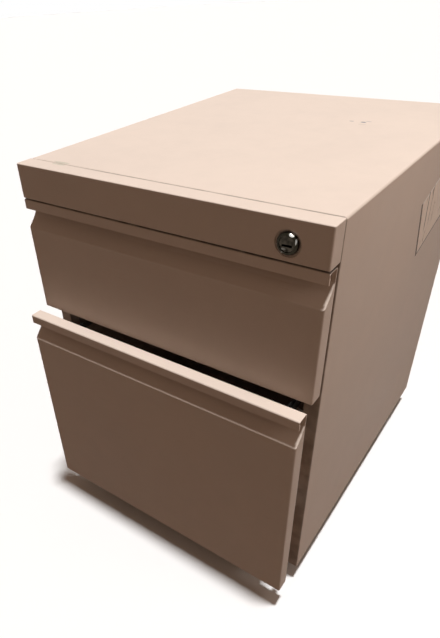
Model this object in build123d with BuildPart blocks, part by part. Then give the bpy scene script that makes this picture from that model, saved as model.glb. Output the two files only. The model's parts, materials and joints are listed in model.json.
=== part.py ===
from build123d import *
import os

# Two-drawer steel pedestal, in millimetres. +Z is up, +Y runs to the back, the drawers face -Y.
# The origin is on the floor, below the middle of the whole, with the file drawer a little open.

# Fronts and header
CASE_WIDTH = 400
HEADER_HEIGHT = 41.5
BOX_FRONT_HEIGHT = 150.5
FILE_FRONT_HEIGHT = 301
SILL_HEIGHT = 9
REVEAL = 2
FRONT_DEPTH = 18
BUFFER_GAP = 6
HEADER_SEAM = 1.4
FRONT_CORNER_RADIUS = 1.9
FRONT_FOOT_RADIUS = 1.4
HEADER_EDGE_RADIUS = 1.0

# Pull folded into the top of each drawer front
PULL_HEIGHT = 37
PULL_LIP_HEIGHT = 12
PULL_HEM_HEIGHT = 6
PULL_BEND_RADIUS = 1.6
PULL_SETBACK = 1.2
PULL_NOSE_RADIUS = 2.5
PULL_SLOPE_RISE = 13
PULL_SLOPE_RUN = 12
PULL_COVE_RADIUS = 5
PULL_COVE_RISE = 8

# Case sheet metal
SHEET = 1.2
CASE_DEPTH = 480
FLOOR_GAP = 28
TOP_BEND_RADIUS = 3
FRONT_BEND_RADIUS = 1.5
SIDE_FLANGE = 18
TOP_FLANGE = 40
REAR_FLANGE = 14
BACK_SHEET = 1.0
BASE_BEND_RADIUS = 2
COUNTERWEIGHT_SIDE_GAP = 5
COUNTERWEIGHT_DEPTH = 110
COUNTERWEIGHT_THICKNESS = 9
UPRIGHT_WIDTH = 28
UPRIGHT_FRONT_SETBACK = 29.5
UPRIGHT_REAR_INSET = 6
UPRIGHT_TOP_GAP = 12
SLOT_PITCH = 50
SLOT_HEIGHT = 14
SLOT_WIDTH = 5

# Telescopic slides, three nested members
SLIDE_LENGTH = 450
SLIDE_HEIGHT = 45
SLIDE_THICKNESS = 12.5
SLIDE_STEEL = 1.2
SLIDE_PLAY = 0.4
SLIDE_SETBACK = 4
SLIDE_OUTER_REACH = 9
SLIDE_LIP = 4
SLIDE_HAT_HEIGHT = 24

# Drawer bodies
REST_OPENING = 29
TRAY_STEEL = 1.0
TRAY_LENGTH = 455
TRAY_HEM = 7
TRAY_BEND_RADIUS = 2
BOX_TRAY_HEIGHT = 100
FILE_TRAY_HEIGHT = 235
BOX_TRAY_LIFT = 6
FILE_TRAY_CLEARANCE = 3
BOX_SLIDE_HEIGHT = 48
FILE_SLIDE_HEIGHT = 110
LINER_STEEL = 1.0
LINER_PLAY = 0.3
RAIL_LENGTH = 430
RAIL_UPSTAND = 10
RAIL_STEEL = 2
SCREW_RADIUS = 2
SCREW_HEAD_RADIUS = 4
SCREW_HEAD_HEIGHT = 2.4
SCREW_PLAY = 0.2
SCREW_TIP = 1.5
BUMPER_RADIUS = 4
BUMPER_PLAY = 0.3
BUMPER_INSET = 24

# Lock
LOCK_FROM_END = 42
LOCK_DROP = 24
DISH_RADIUS = 13
DISH_DEPTH = 1.8
DISH_EDGE_RADIUS = 0.8
BEZEL_RADIUS = 10.7
BEZEL_HEIGHT = 4.1
BARREL_RADIUS = 9
BARREL_LENGTH = 28
BARREL_PLAY = 0.3
FLANGE_HOLE_RADIUS = 11
PLUG_RADIUS = 7.8
PLUG_RECESS = 0.6
PLUG_PLAY = 0.06
PLUG_TAIL_RADIUS = 4
KEYWAY_WIDTH = 10.2
KEYWAY_HEIGHT = 2.2
KEYWAY_DROP = 1.6
KEYWAY_DEPTH = 8
NUT_WIDTH = 24
NUT_HEIGHT = 4
CAM_ARM = 7
CAM_THICKNESS = 1.8
CAM_TIP_RADIUS = 3.5
CAM_PIN_RADIUS = 1.5
CAM_START_ANGLE = 45
LOCK_TRAVEL = 9.9
BAR_THICKNESS = 1.5
BAR_WIDTH = 15
BAR_FROM_SIDE = 12.5
BAR_SETBACK = 8.5
BAR_SLOT_PLAY = 0.5
BAR_ARM_MARGIN = 4
RAIL_RETURN = 20
GUIDE_HEIGHT = 12
GUIDE_WALL = 2.5
GUIDE_PLAY = 0.4
CATCH_STUD_RADIUS = 3
CATCH_STUD_REACH = 10.5
CATCH_PLATE = 2
CATCH_PLATE_HEIGHT = 18
CATCH_PLATE_WIDTH = 14
CATCH_DROP = 13
CATCH_PLAY = 1
HOOK_REACH = 14

# Casters
WHEEL_RADIUS = 19
WHEEL_WIDTH = 14
WHEEL_HUB_RADIUS = 8
WHEEL_CROWN = 1.5
CASTER_HEIGHT = 50
CASTER_TRAIL = 15
CASTER_INSET_X = 45
CASTER_INSET_Y = 48
CASTER_PLATE_SIZE = 44
CASTER_PLATE_THICKNESS = 2.5
CASTER_SCREW_SPACING = 32
CASTER_SCREW_RADIUS = 2
CASTER_HEAD_RADIUS = 3.6
CASTER_HEAD_HEIGHT = 2
RACE_RADIUS = 13
RACE_HEIGHT = 1.6
RACE_PLAY = 0.3
FORK_STEEL = 2
FORK_DISC_RADIUS = 16
FORK_PLAY = 0.5
FORK_BOSS_RADIUS = 6
KINGPIN_RADIUS = 4
KINGPIN_PLAY = 0.08
KINGPIN_HEAD_RADIUS = 6
KINGPIN_HEAD_HEIGHT = 1.8
AXLE_RADIUS = 3
AXLE_PLAY = 0.08
AXLE_HEAD_RADIUS = 4.5
AXLE_HEAD = 1.5

# Places worked out from the sizes above
HEADER_DEPTH = FRONT_DEPTH + BUFFER_GAP
CASE_HEIGHT = HEADER_HEIGHT + BOX_FRONT_HEIGHT + FILE_FRONT_HEIGHT + 2 * REVEAL + SILL_HEIGHT
OVERALL_DEPTH = CASE_DEPTH + HEADER_DEPTH + REST_OPENING
BACK_Y = OVERALL_DEPTH / 2
CASE_FRONT_Y = BACK_Y - CASE_DEPTH
BOX_FACE_Y = CASE_FRONT_Y - HEADER_DEPTH
FILE_FACE_Y = BOX_FACE_Y - REST_OPENING
TOP_Z = FLOOR_GAP + CASE_HEIGHT
HEADER_Z = TOP_Z - HEADER_HEIGHT
BOX_TOP_Z = HEADER_Z - REVEAL
BOX_FOOT_Z = BOX_TOP_Z - BOX_FRONT_HEIGHT
FILE_TOP_Z = BOX_FOOT_Z - REVEAL
SIDE_X = CASE_WIDTH / 2
INNER_X = SIDE_X - SHEET
OPENING_X = SIDE_X - SIDE_FLANGE
TRAY_X = OPENING_X - SLIDE_THICKNESS
BASE_TOP_Z = CASTER_HEIGHT + SHEET
BOX_TRAY_Z = BOX_FOOT_Z + BOX_TRAY_LIFT
FILE_TRAY_Z = BASE_TOP_Z + COUNTERWEIGHT_THICKNESS + FILE_TRAY_CLEARANCE
BOX_CATCH_Z = BOX_TRAY_Z + BOX_TRAY_HEIGHT - CATCH_DROP
FILE_CATCH_Z = FILE_TRAY_Z + FILE_TRAY_HEIGHT - CATCH_DROP
LOCK_X = SIDE_X - LOCK_FROM_END
LOCK_Z = TOP_Z - LOCK_DROP
DISH_FLOOR_Y = BOX_FACE_Y + DISH_DEPTH
BARREL_END_Y = DISH_FLOOR_Y + BARREL_LENGTH
BAR_X = SIDE_X - BAR_FROM_SIDE
BAR_Y = CASE_FRONT_Y + BAR_SETBACK
HOOK_BACK_Y = BAR_Y + BAR_THICKNESS
HOOK_RISE = CATCH_STUD_RADIUS + CATCH_PLAY


def across(y):
    """Plane square to Y at the given y, with local x along X and local y up."""
    return Plane.XZ.offset(-y)


def level(z):
    """Level plane at the given height."""
    return Plane.XY.offset(z)


def save(piece, name):
    piece.part.label = name
    export_step(piece.part, f"parts/{name}.step")


def mirrored(piece):
    with BuildPart() as twin:
        mirror(piece.part, about=Plane.YZ)
    return twin


# Case sheet metal


def make_case_wrapper():
    """Top and sides folded from one sheet, with return flanges at the front and the back."""
    depth = CASE_DEPTH
    with BuildPart() as wrapper:
        with BuildSketch(across(CASE_FRONT_Y)) as outline:
            with Locations((0, FLOOR_GAP + CASE_HEIGHT / 2)):
                Rectangle(CASE_WIDTH, CASE_HEIGHT)
            fillet(outline.vertices().group_by(Axis.Y)[-1], TOP_BEND_RADIUS)
        extrude(amount=-depth)
        front_rim = wrapper.edges().group_by(Axis.Y)[0]
        fillet(front_rim.sort_by(Axis.Z)[1:], FRONT_BEND_RADIUS)
        with BuildSketch(across(CASE_FRONT_Y + SHEET)) as inside:
            with Locations((0, FLOOR_GAP + (CASE_HEIGHT - SHEET) / 2)):
                Rectangle(2 * INNER_X, CASE_HEIGHT - SHEET)
            fillet(inside.vertices().group_by(Axis.Y)[-1], TOP_BEND_RADIUS - SHEET)
        extrude(amount=-(depth - 2 * SHEET), mode=Mode.SUBTRACT)
        with BuildSketch(across(CASE_FRONT_Y)):
            with Locations((0, FLOOR_GAP + (CASE_HEIGHT - TOP_FLANGE) / 2)):
                Rectangle(2 * OPENING_X, CASE_HEIGHT - TOP_FLANGE)
            with Locations((LOCK_X, LOCK_Z)):
                Circle(FLANGE_HOLE_RADIUS)
        extrude(amount=-2 * SHEET, mode=Mode.SUBTRACT)
        with BuildSketch(across(BACK_Y)):
            with Locations((0, FLOOR_GAP + (CASE_HEIGHT - REAR_FLANGE) / 2)):
                Rectangle(CASE_WIDTH - 2 * REAR_FLANGE, CASE_HEIGHT - REAR_FLANGE)
        extrude(amount=2 * SHEET, mode=Mode.SUBTRACT)
    return wrapper


def make_back_panel():
    """Flat sheet spot-welded to the inside of the rear flanges."""
    height = CASE_HEIGHT - SHEET
    with BuildPart() as panel:
        with BuildSketch(across(BACK_Y - SHEET)) as outline:
            with Locations((0, FLOOR_GAP + height / 2)):
                Rectangle(2 * INNER_X, height)
            fillet(outline.vertices().group_by(Axis.Y)[-1], TOP_BEND_RADIUS)
        extrude(amount=BACK_SHEET)
    return panel


def caster_places():
    """Swivel axes of the four casters, as named (x, y) pairs."""
    x = SIDE_X - CASTER_INSET_X
    front_y = CASE_FRONT_Y + CASTER_INSET_Y
    rear_y = BACK_Y - CASTER_INSET_Y - CASTER_TRAIL
    return {
        "front_left": (-x, front_y),
        "front_right": (x, front_y),
        "rear_left": (-x, rear_y),
        "rear_right": (x, rear_y),
    }


def make_base_pan():
    """Pan with its rim turned down to the lower edge of the case, pierced for the casters."""
    front_y = CASE_FRONT_Y + SHEET
    rear_y = BACK_Y - SHEET - BACK_SHEET
    length = rear_y - front_y
    middle_y = (front_y + rear_y) / 2
    rim = BASE_TOP_Z - FLOOR_GAP
    with BuildPart() as pan:
        with BuildSketch(level(FLOOR_GAP)):
            with Locations((0, middle_y)):
                Rectangle(2 * INNER_X, length)
        extrude(amount=rim)
        fillet(pan.edges().group_by(Axis.Z)[-1], BASE_BEND_RADIUS)
        with BuildSketch(level(FLOOR_GAP)):
            with Locations((0, middle_y)):
                Rectangle(2 * (INNER_X - SHEET), length - 2 * SHEET)
        extrude(amount=rim - SHEET, mode=Mode.SUBTRACT)
        with BuildSketch(level(BASE_TOP_Z)):
            for x, y in caster_places().values():
                with Locations((x, y)):
                    with GridLocations(CASTER_SCREW_SPACING, CASTER_SCREW_SPACING, 2, 2):
                        Circle(CASTER_SCREW_RADIUS + SCREW_PLAY)
        extrude(amount=-SHEET, mode=Mode.SUBTRACT)
    return pan


def make_counterweight():
    """Steel plate on the base at the back, between the screws of the rear casters."""
    rear_y = BACK_Y - SHEET - BACK_SHEET - BASE_BEND_RADIUS
    screw_x = SIDE_X - CASTER_INSET_X - CASTER_SCREW_SPACING / 2
    width = 2 * (screw_x - CASTER_HEAD_RADIUS - COUNTERWEIGHT_SIDE_GAP)
    with BuildPart() as weight:
        with BuildSketch(level(BASE_TOP_Z)):
            with Locations((0, rear_y - COUNTERWEIGHT_DEPTH / 2)):
                RectangleRounded(width, COUNTERWEIGHT_DEPTH, 2 * BASE_BEND_RADIUS)
        extrude(amount=COUNTERWEIGHT_THICKNESS)
    return weight


def make_uprights():
    """Two channels on the right side wall, slotted for the slides' ends."""
    depth = INNER_X - OPENING_X
    top_z = TOP_Z - SHEET - UPRIGHT_TOP_GAP
    height = top_z - BASE_TOP_Z
    slots = int((height - SLOT_PITCH) // SLOT_PITCH) + 1
    front_y = CASE_FRONT_Y + UPRIGHT_FRONT_SETBACK
    slide_end_y = CASE_FRONT_Y + SLIDE_SETBACK + SLIDE_LENGTH
    rear_y = slide_end_y - UPRIGHT_REAR_INSET - UPRIGHT_WIDTH
    with BuildPart() as uprights:
        for y in (front_y, rear_y):
            with BuildSketch(level(BASE_TOP_Z)):
                with Locations((OPENING_X + depth / 2, y + UPRIGHT_WIDTH / 2)):
                    Rectangle(depth, UPRIGHT_WIDTH)
                with Locations((OPENING_X + depth / 2 + SHEET, y + UPRIGHT_WIDTH / 2)):
                    Rectangle(depth, UPRIGHT_WIDTH - 2 * SHEET, mode=Mode.SUBTRACT)
            extrude(amount=height)
            with BuildSketch(Plane.YZ.offset(OPENING_X)):
                with Locations((y + UPRIGHT_WIDTH / 2, BASE_TOP_Z + height / 2)):
                    with GridLocations(SLOT_PITCH, SLOT_PITCH, 1, slots):
                        SlotOverall(SLOT_HEIGHT, SLOT_WIDTH, rotation=90)
            extrude(amount=SHEET, mode=Mode.SUBTRACT)
    return uprights


def make_header_fascia():
    """Hollow rail in front of the case top, flush with the drawer fronts, dished for the lock."""
    depth = HEADER_DEPTH - HEADER_SEAM
    inner_radius = FRONT_CORNER_RADIUS - SHEET
    with BuildPart() as cavity:
        with BuildSketch(level(HEADER_Z + SHEET)):
            add(front_plan(2 * INNER_X, BOX_FACE_Y + SHEET, HEADER_DEPTH, inner_radius))
        extrude(amount=HEADER_HEIGHT - 2 * SHEET)
    with BuildPart() as fascia:
        with BuildSketch(level(HEADER_Z)):
            add(front_plan(CASE_WIDTH, BOX_FACE_Y, depth, FRONT_CORNER_RADIUS))
        extrude(amount=HEADER_HEIGHT)
        fillet(fascia.faces().sort_by(Axis.Y)[0].edges().filter_by(Axis.X), HEADER_EDGE_RADIUS)
        add(cavity.part, mode=Mode.SUBTRACT)
        with BuildSketch(level(HEADER_Z)):
            with Locations((0, CASE_FRONT_Y - HEADER_DEPTH / 4)):
                Rectangle(2 * INNER_X, HEADER_DEPTH / 2)
        extrude(amount=SHEET)
        with BuildSketch(across(BOX_FACE_Y + SHEET)):
            with Locations((LOCK_X, LOCK_Z)):
                Circle(DISH_RADIUS + SHEET)
        extrude(amount=-DISH_DEPTH)
        with BuildSketch(across(BOX_FACE_Y)):
            with Locations((LOCK_X, LOCK_Z)):
                Circle(DISH_RADIUS)
        extrude(amount=-DISH_DEPTH, mode=Mode.SUBTRACT)
        rims = fascia.edges().filter_by(GeomType.CIRCLE)
        dish_rims = rims.filter_by(lambda rim: abs(rim.radius - DISH_RADIUS) < HEADER_SEAM / 10)
        fillet(dish_rims.group_by(Axis.Y)[0], DISH_EDGE_RADIUS)
        with BuildSketch(across(DISH_FLOOR_Y)):
            with Locations((LOCK_X, LOCK_Z)):
                Circle(BARREL_RADIUS + BARREL_PLAY)
        extrude(amount=-SHEET, mode=Mode.SUBTRACT)
    return fascia


def make_lock_rail():
    """Channel across the case behind the header; the lock works inside it."""
    front_y = CASE_FRONT_Y + SHEET
    bottom_z = HEADER_Z + HEADER_SEAM
    height = TOP_Z - SHEET - bottom_z
    bar_space = BAR_WIDTH + 2 * GUIDE_WALL
    with BuildPart() as rail:
        with BuildSketch(Plane.YZ.offset(-INNER_X + TOP_BEND_RADIUS)):
            with Locations((front_y + RAIL_RETURN / 2, bottom_z + height / 2)):
                Rectangle(RAIL_RETURN, height)
            with Locations((front_y + SHEET + RAIL_RETURN / 2, bottom_z + height / 2)):
                Rectangle(RAIL_RETURN, height - 2 * SHEET, mode=Mode.SUBTRACT)
        extrude(amount=2 * (INNER_X - TOP_BEND_RADIUS))
        with BuildSketch(across(front_y)):
            with Locations((LOCK_X, LOCK_Z)):
                Circle(FLANGE_HOLE_RADIUS)
        extrude(amount=-SHEET, mode=Mode.SUBTRACT)
        with BuildSketch(level(bottom_z)):
            with Locations((BAR_X, BAR_Y + BAR_WIDTH / 2)):
                Rectangle(2 * BAR_THICKNESS + 2 * GUIDE_WALL, bar_space)
        extrude(amount=SHEET, mode=Mode.SUBTRACT)
    return rail


# Slides


def make_slide_outer(front_y, z):
    """Fixed member: a channel with lips, against the uprights."""
    half = SLIDE_HEIGHT / 2
    reach = OPENING_X - SLIDE_OUTER_REACH
    with BuildPart() as member:
        with BuildSketch(across(front_y)):
            with BuildLine():
                Polyline(
                    (reach, z - half + SLIDE_LIP),
                    (reach, z - half),
                    (OPENING_X, z - half),
                    (OPENING_X, z + half),
                    (reach, z + half),
                    (reach, z + half - SLIDE_LIP),
                )
                offset(amount=SLIDE_STEEL, side=Side.LEFT)
            make_face()
        extrude(amount=-SLIDE_LENGTH)
    return member


def make_slide_middle(front_y, z):
    """Travelling member, nested in the outer one and carrying the inner one."""
    gap = SLIDE_STEEL + SLIDE_PLAY
    half = SLIDE_HEIGHT / 2 - gap
    web = OPENING_X - gap
    reach = OPENING_X - SLIDE_OUTER_REACH + gap
    with BuildPart() as member:
        with BuildSketch(across(front_y)):
            with BuildLine():
                Polyline(
                    (reach, z - half + SLIDE_LIP),
                    (reach, z - half),
                    (web, z - half),
                    (web, z + half),
                    (reach, z + half),
                    (reach, z + half - SLIDE_LIP),
                )
                offset(amount=SLIDE_STEEL, side=Side.LEFT)
            make_face()
        extrude(amount=-SLIDE_LENGTH)
    return member


def make_slide_inner(front_y, z):
    """Hat-shaped member on the drawer side; its feet run behind the middle member's lips."""
    gap = SLIDE_STEEL + SLIDE_PLAY
    foot = SLIDE_HEIGHT / 2 - 2 * gap
    hat = SLIDE_HAT_HEIGHT / 2
    base = OPENING_X - 2 * gap - SLIDE_STEEL
    with BuildPart() as member:
        with BuildSketch(across(front_y)):
            with BuildLine():
                Polyline(
                    (base, z - foot),
                    (base, z - hat),
                    (TRAY_X, z - hat),
                    (TRAY_X, z + hat),
                    (base, z + hat),
                    (base, z + foot),
                )
                offset(amount=SLIDE_STEEL, side=Side.RIGHT)
            make_face()
        extrude(amount=-SLIDE_LENGTH)
    return member


# Drawers


def front_plan(width, front_y, depth, radius):
    """Plan of a front pan: a rectangle whose two front corners are rounded."""
    with BuildSketch() as plan:
        with Locations((0, front_y + depth / 2)):
            Rectangle(width, depth)
        fillet(plan.vertices().group_by(Axis.Y)[0], radius)
    return plan.sketch


def make_drawer_front(height, face_y, top_z):
    """Front folded from one sheet: a pan with a cove above it and a lipped flange as the pull."""
    rear_y = face_y + FRONT_DEPTH
    foot_z = top_z - height
    nose_z = top_z - PULL_HEIGHT
    slope_z = nose_z + PULL_SLOPE_RISE
    lip_y = face_y + PULL_SETBACK
    wall_y = rear_y - SHEET
    with BuildPart() as hollow:
        with BuildSketch(level(foot_z + SHEET)):
            add(front_plan(2 * INNER_X, face_y + SHEET, FRONT_DEPTH, FRONT_CORNER_RADIUS - SHEET))
        extrude(amount=height)
        with BuildSketch(Plane.YZ.offset(-INNER_X)):
            with BuildLine():
                lining = FilletPolyline(
                    (face_y + SHEET, foot_z),
                    (face_y + SHEET, nose_z - SHEET / 2),
                    (face_y + PULL_SLOPE_RUN + SHEET / 2, slope_z - SHEET),
                    (rear_y + SHEET, slope_z - SHEET),
                    radius=PULL_NOSE_RADIUS - SHEET,
                )
                Polyline(lining @ 1, (rear_y + SHEET, foot_z), lining @ 0)
            make_face()
        extrude(amount=2 * INNER_X, mode=Mode.INTERSECT)
    with BuildPart() as front:
        with BuildSketch(level(foot_z)):
            add(front_plan(CASE_WIDTH, face_y, FRONT_DEPTH, FRONT_CORNER_RADIUS))
        extrude(amount=height)
        with BuildSketch(Plane.YZ.offset(-SIDE_X)):
            with BuildLine():
                skin = FilletPolyline(
                    (face_y, foot_z),
                    (face_y, nose_z),
                    (face_y + PULL_SLOPE_RUN, slope_z),
                    (wall_y, slope_z + PULL_COVE_RISE),
                    (wall_y, top_z),
                    radius=[PULL_NOSE_RADIUS, PULL_COVE_RADIUS, PULL_COVE_RADIUS],
                )
                Polyline(skin @ 1, (rear_y, top_z), (rear_y, foot_z), skin @ 0)
            make_face()
        extrude(amount=CASE_WIDTH, mode=Mode.INTERSECT)
        foot_edges = front.faces().sort_by(Axis.Z)[0].edges().sort_by(Axis.Y)[:-1]
        fillet(foot_edges, FRONT_FOOT_RADIUS)
        add(hollow.part, mode=Mode.SUBTRACT)
        with BuildSketch(Plane.YZ.offset(-SIDE_X)):
            with BuildLine():
                FilletPolyline(
                    (rear_y, top_z - PULL_LIP_HEIGHT),
                    (rear_y, top_z),
                    (lip_y, top_z),
                    (lip_y, top_z - PULL_LIP_HEIGHT),
                    radius=PULL_BEND_RADIUS,
                )
                offset(amount=SHEET, side=Side.LEFT)
            make_face()
            with Locations((lip_y + SHEET, top_z - PULL_LIP_HEIGHT + PULL_HEM_HEIGHT / 2)):
                Rectangle(2 * SHEET, PULL_HEM_HEIGHT)
        extrude(amount=CASE_WIDTH)
        with BuildSketch(Plane.YZ.offset(-SIDE_X)):
            with BuildLine():
                FilletPolyline(
                    (rear_y + SHEET, top_z - PULL_LIP_HEIGHT),
                    (rear_y, top_z - PULL_LIP_HEIGHT),
                    (rear_y, top_z),
                    (wall_y - SHEET, top_z),
                    radius=[SHEET / 4, PULL_BEND_RADIUS],
                )
                Polyline(
                    (wall_y - SHEET, top_z),
                    (rear_y + SHEET, top_z + SHEET),
                    (rear_y + SHEET, top_z - PULL_LIP_HEIGHT),
                )
            make_face()
        extrude(amount=CASE_WIDTH, mode=Mode.SUBTRACT)
    return front


def make_front_liner(height, face_y, top_z, screws):
    """Flat inner sheet that closes the back of the front, inside its returns."""
    rear_y = face_y + FRONT_DEPTH
    low_z = top_z - height + SHEET + LINER_PLAY
    high_z = top_z - PULL_HEIGHT + PULL_SLOPE_RISE / 2
    with BuildPart() as liner:
        with BuildSketch(across(rear_y - LINER_STEEL)):
            with Locations((0, (low_z + high_z) / 2)):
                Rectangle(2 * (INNER_X - LINER_PLAY), high_z - low_z)
            with Locations(*screws):
                Circle(SCREW_RADIUS + SCREW_PLAY, mode=Mode.SUBTRACT)
        extrude(amount=-LINER_STEEL)
    return liner


def make_bumpers(height, face_y, top_z):
    """Four rubber buffers on the back of a front; they meet the flanges of the case."""
    with BuildPart() as bumpers:
        with BuildSketch(across(face_y + FRONT_DEPTH)):
            for z in (top_z - height + BUMPER_INSET, top_z - PULL_HEIGHT - BUMPER_INSET):
                for side in (-1, 1):
                    with Locations((side * (SIDE_X - SIDE_FLANGE / 2), z)):
                        Circle(BUMPER_RADIUS)
        extrude(amount=BUMPER_PLAY - BUFFER_GAP)
    return bumpers


def make_tray_floor(face_y, floor_z):
    """Flat sheet under the sides and ends of a drawer body."""
    with BuildPart() as floor:
        with BuildSketch(level(floor_z)):
            with Locations((0, face_y + FRONT_DEPTH + TRAY_LENGTH / 2)):
                Rectangle(2 * TRAY_X, TRAY_LENGTH)
        extrude(amount=TRAY_STEEL)
    return floor


def make_tray_sides(height, face_y, floor_z):
    """Side walls with a weld flange below and a hem above, both turned inwards."""
    front_y = face_y + FRONT_DEPTH
    low_z = floor_z + TRAY_STEEL
    high_z = floor_z + height
    notch_x = TRAY_X - TRAY_STEEL - TRAY_HEM / 2
    with BuildPart() as sides:
        with BuildSketch(across(front_y)):
            with BuildLine():
                FilletPolyline(
                    (TRAY_X - TRAY_HEM, low_z),
                    (TRAY_X, low_z),
                    (TRAY_X, high_z),
                    (TRAY_X - TRAY_HEM, high_z),
                    radius=TRAY_BEND_RADIUS,
                )
                offset(amount=TRAY_STEEL, side=Side.LEFT)
            make_face()
        extrude(amount=-TRAY_LENGTH)
        for y, depth in ((front_y, -TRAY_STEEL), (front_y + TRAY_LENGTH, TRAY_STEEL)):
            with BuildSketch(across(y)):
                with Locations((notch_x, (low_z + high_z) / 2)):
                    Rectangle(TRAY_HEM, high_z - low_z)
            extrude(amount=depth, mode=Mode.SUBTRACT)
        mirror(about=Plane.YZ)
    return sides


def make_tray_ends(height, face_y, floor_z, screws):
    """Front and rear walls between the sides; the front one takes the screws."""
    front_y = face_y + FRONT_DEPTH
    middle_z = floor_z + (TRAY_STEEL + height) / 2
    with BuildPart() as ends:
        with BuildSketch(across(front_y)):
            with Locations((0, middle_z)):
                Rectangle(2 * (TRAY_X - TRAY_STEEL), height - TRAY_STEEL)
            with Locations(*screws):
                Circle(SCREW_RADIUS + SCREW_PLAY, mode=Mode.SUBTRACT)
        extrude(amount=-TRAY_STEEL)
        with BuildSketch(across(front_y + TRAY_LENGTH)):
            with Locations((0, middle_z)):
                Rectangle(2 * (TRAY_X - TRAY_STEEL), height - TRAY_STEEL)
        extrude(amount=TRAY_STEEL)
    return ends


def screw_places(height, floor_z):
    """Four screws in the tray's front wall, in from its corners."""
    x = TRAY_X - BUMPER_INSET
    inset = min(BUMPER_INSET, height / 4)
    return [(sx * x, z) for sx in (-1, 1) for z in (floor_z + inset, floor_z + height - inset)]


def make_front_screws(face_y, screws):
    """Pan-head screws that hold the front to the tray, heads inside the tray."""
    seat_y = face_y + FRONT_DEPTH + TRAY_STEEL
    grip = TRAY_STEEL + LINER_STEEL + SCREW_TIP
    with BuildPart() as group:
        with BuildSketch(across(seat_y)):
            with Locations(*screws):
                Circle(SCREW_HEAD_RADIUS)
        extrude(amount=-SCREW_HEAD_HEIGHT)
        with BuildSketch(across(seat_y)):
            with Locations(*screws):
                Circle(SCREW_RADIUS)
        extrude(amount=grip)
    return group


def make_catch(face_y, z):
    """Stud on a small plate on the tray's right side, which the lock bar's hook holds back."""
    closed_y = HOOK_BACK_Y + CATCH_PLAY + CATCH_STUD_RADIUS
    y = closed_y + face_y - BOX_FACE_Y
    with BuildPart() as catch:
        with BuildSketch(Plane.YZ.offset(TRAY_X)):
            with Locations((y, z)):
                RectangleRounded(CATCH_PLATE_WIDTH, CATCH_PLATE_HEIGHT, CATCH_STUD_RADIUS)
        extrude(amount=CATCH_PLATE)
        with BuildSketch(Plane.YZ.offset(TRAY_X)):
            with Locations((y, z)):
                Circle(CATCH_STUD_RADIUS)
        extrude(amount=CATCH_STUD_REACH)
    return catch


def make_hanging_rail(face_y):
    """Right-hand rail for hanging folders: a foot on the tray's hem and an upstand."""
    y = face_y + FRONT_DEPTH + TRAY_LENGTH / 2 - RAIL_LENGTH / 2
    z = FILE_TRAY_Z + FILE_TRAY_HEIGHT
    with BuildPart() as rail:
        with BuildSketch(across(y)):
            with Locations((TRAY_X - TRAY_HEM / 2, z + RAIL_STEEL / 2)):
                Rectangle(TRAY_HEM, RAIL_STEEL)
            with Locations((TRAY_X - TRAY_HEM + RAIL_STEEL / 2, z + RAIL_UPSTAND / 2)):
                Rectangle(RAIL_STEEL, RAIL_UPSTAND)
        extrude(amount=-RAIL_LENGTH)
        fillet(rail.edges().filter_by(Axis.Y).group_by(Axis.Z)[-1], RAIL_STEEL / 3)
    return rail


# Lock


def make_lock_housing():
    """Shell of the cylinder: a domed bezel in the dish and a barrel through the header."""
    with BuildPart() as housing:
        with BuildSketch(across(DISH_FLOOR_Y)):
            with Locations((LOCK_X, LOCK_Z)):
                Circle(BEZEL_RADIUS)
        extrude(amount=BEZEL_HEIGHT)
        fillet(housing.edges().group_by(Axis.Y)[0], BEZEL_HEIGHT / 2)
        with BuildSketch(across(DISH_FLOOR_Y)):
            with Locations((LOCK_X, LOCK_Z)):
                Circle(BARREL_RADIUS)
        extrude(amount=-BARREL_LENGTH)
        with BuildSketch(across(DISH_FLOOR_Y - BEZEL_HEIGHT)):
            with Locations((LOCK_X, LOCK_Z)):
                Circle(PLUG_RADIUS + PLUG_PLAY)
        extrude(amount=-(BEZEL_HEIGHT + BARREL_LENGTH), mode=Mode.SUBTRACT)
    return housing


def make_lock_nut():
    """Hexagon nut that clamps the barrel behind the header's dish."""
    with BuildPart() as nut:
        with BuildSketch(across(DISH_FLOOR_Y + SHEET)):
            with Locations((LOCK_X, LOCK_Z)):
                RegularPolygon(NUT_WIDTH / 2, 6, major_radius=False)
                Circle(BARREL_RADIUS, mode=Mode.SUBTRACT)
        extrude(amount=-NUT_HEIGHT)
    return nut


def make_lock_plug():
    """Turning plug with a level keyway, and the tail that carries the cam."""
    front_y = DISH_FLOOR_Y - BEZEL_HEIGHT + PLUG_RECESS
    with BuildPart() as plug:
        with BuildSketch(across(front_y)):
            with Locations((LOCK_X, LOCK_Z)):
                Circle(PLUG_RADIUS)
        extrude(amount=front_y - BARREL_END_Y)
        fillet(plug.edges().group_by(Axis.Y)[0], KEYWAY_HEIGHT / 4)
        with BuildSketch(across(BARREL_END_Y)):
            with Locations((LOCK_X, LOCK_Z)):
                Circle(PLUG_TAIL_RADIUS)
        extrude(amount=-CAM_THICKNESS)
        with BuildSketch(across(front_y)):
            with Locations((LOCK_X, LOCK_Z - KEYWAY_DROP)):
                Rectangle(KEYWAY_WIDTH, KEYWAY_HEIGHT)
        extrude(amount=-KEYWAY_DEPTH, mode=Mode.SUBTRACT)
    return plug


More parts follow.
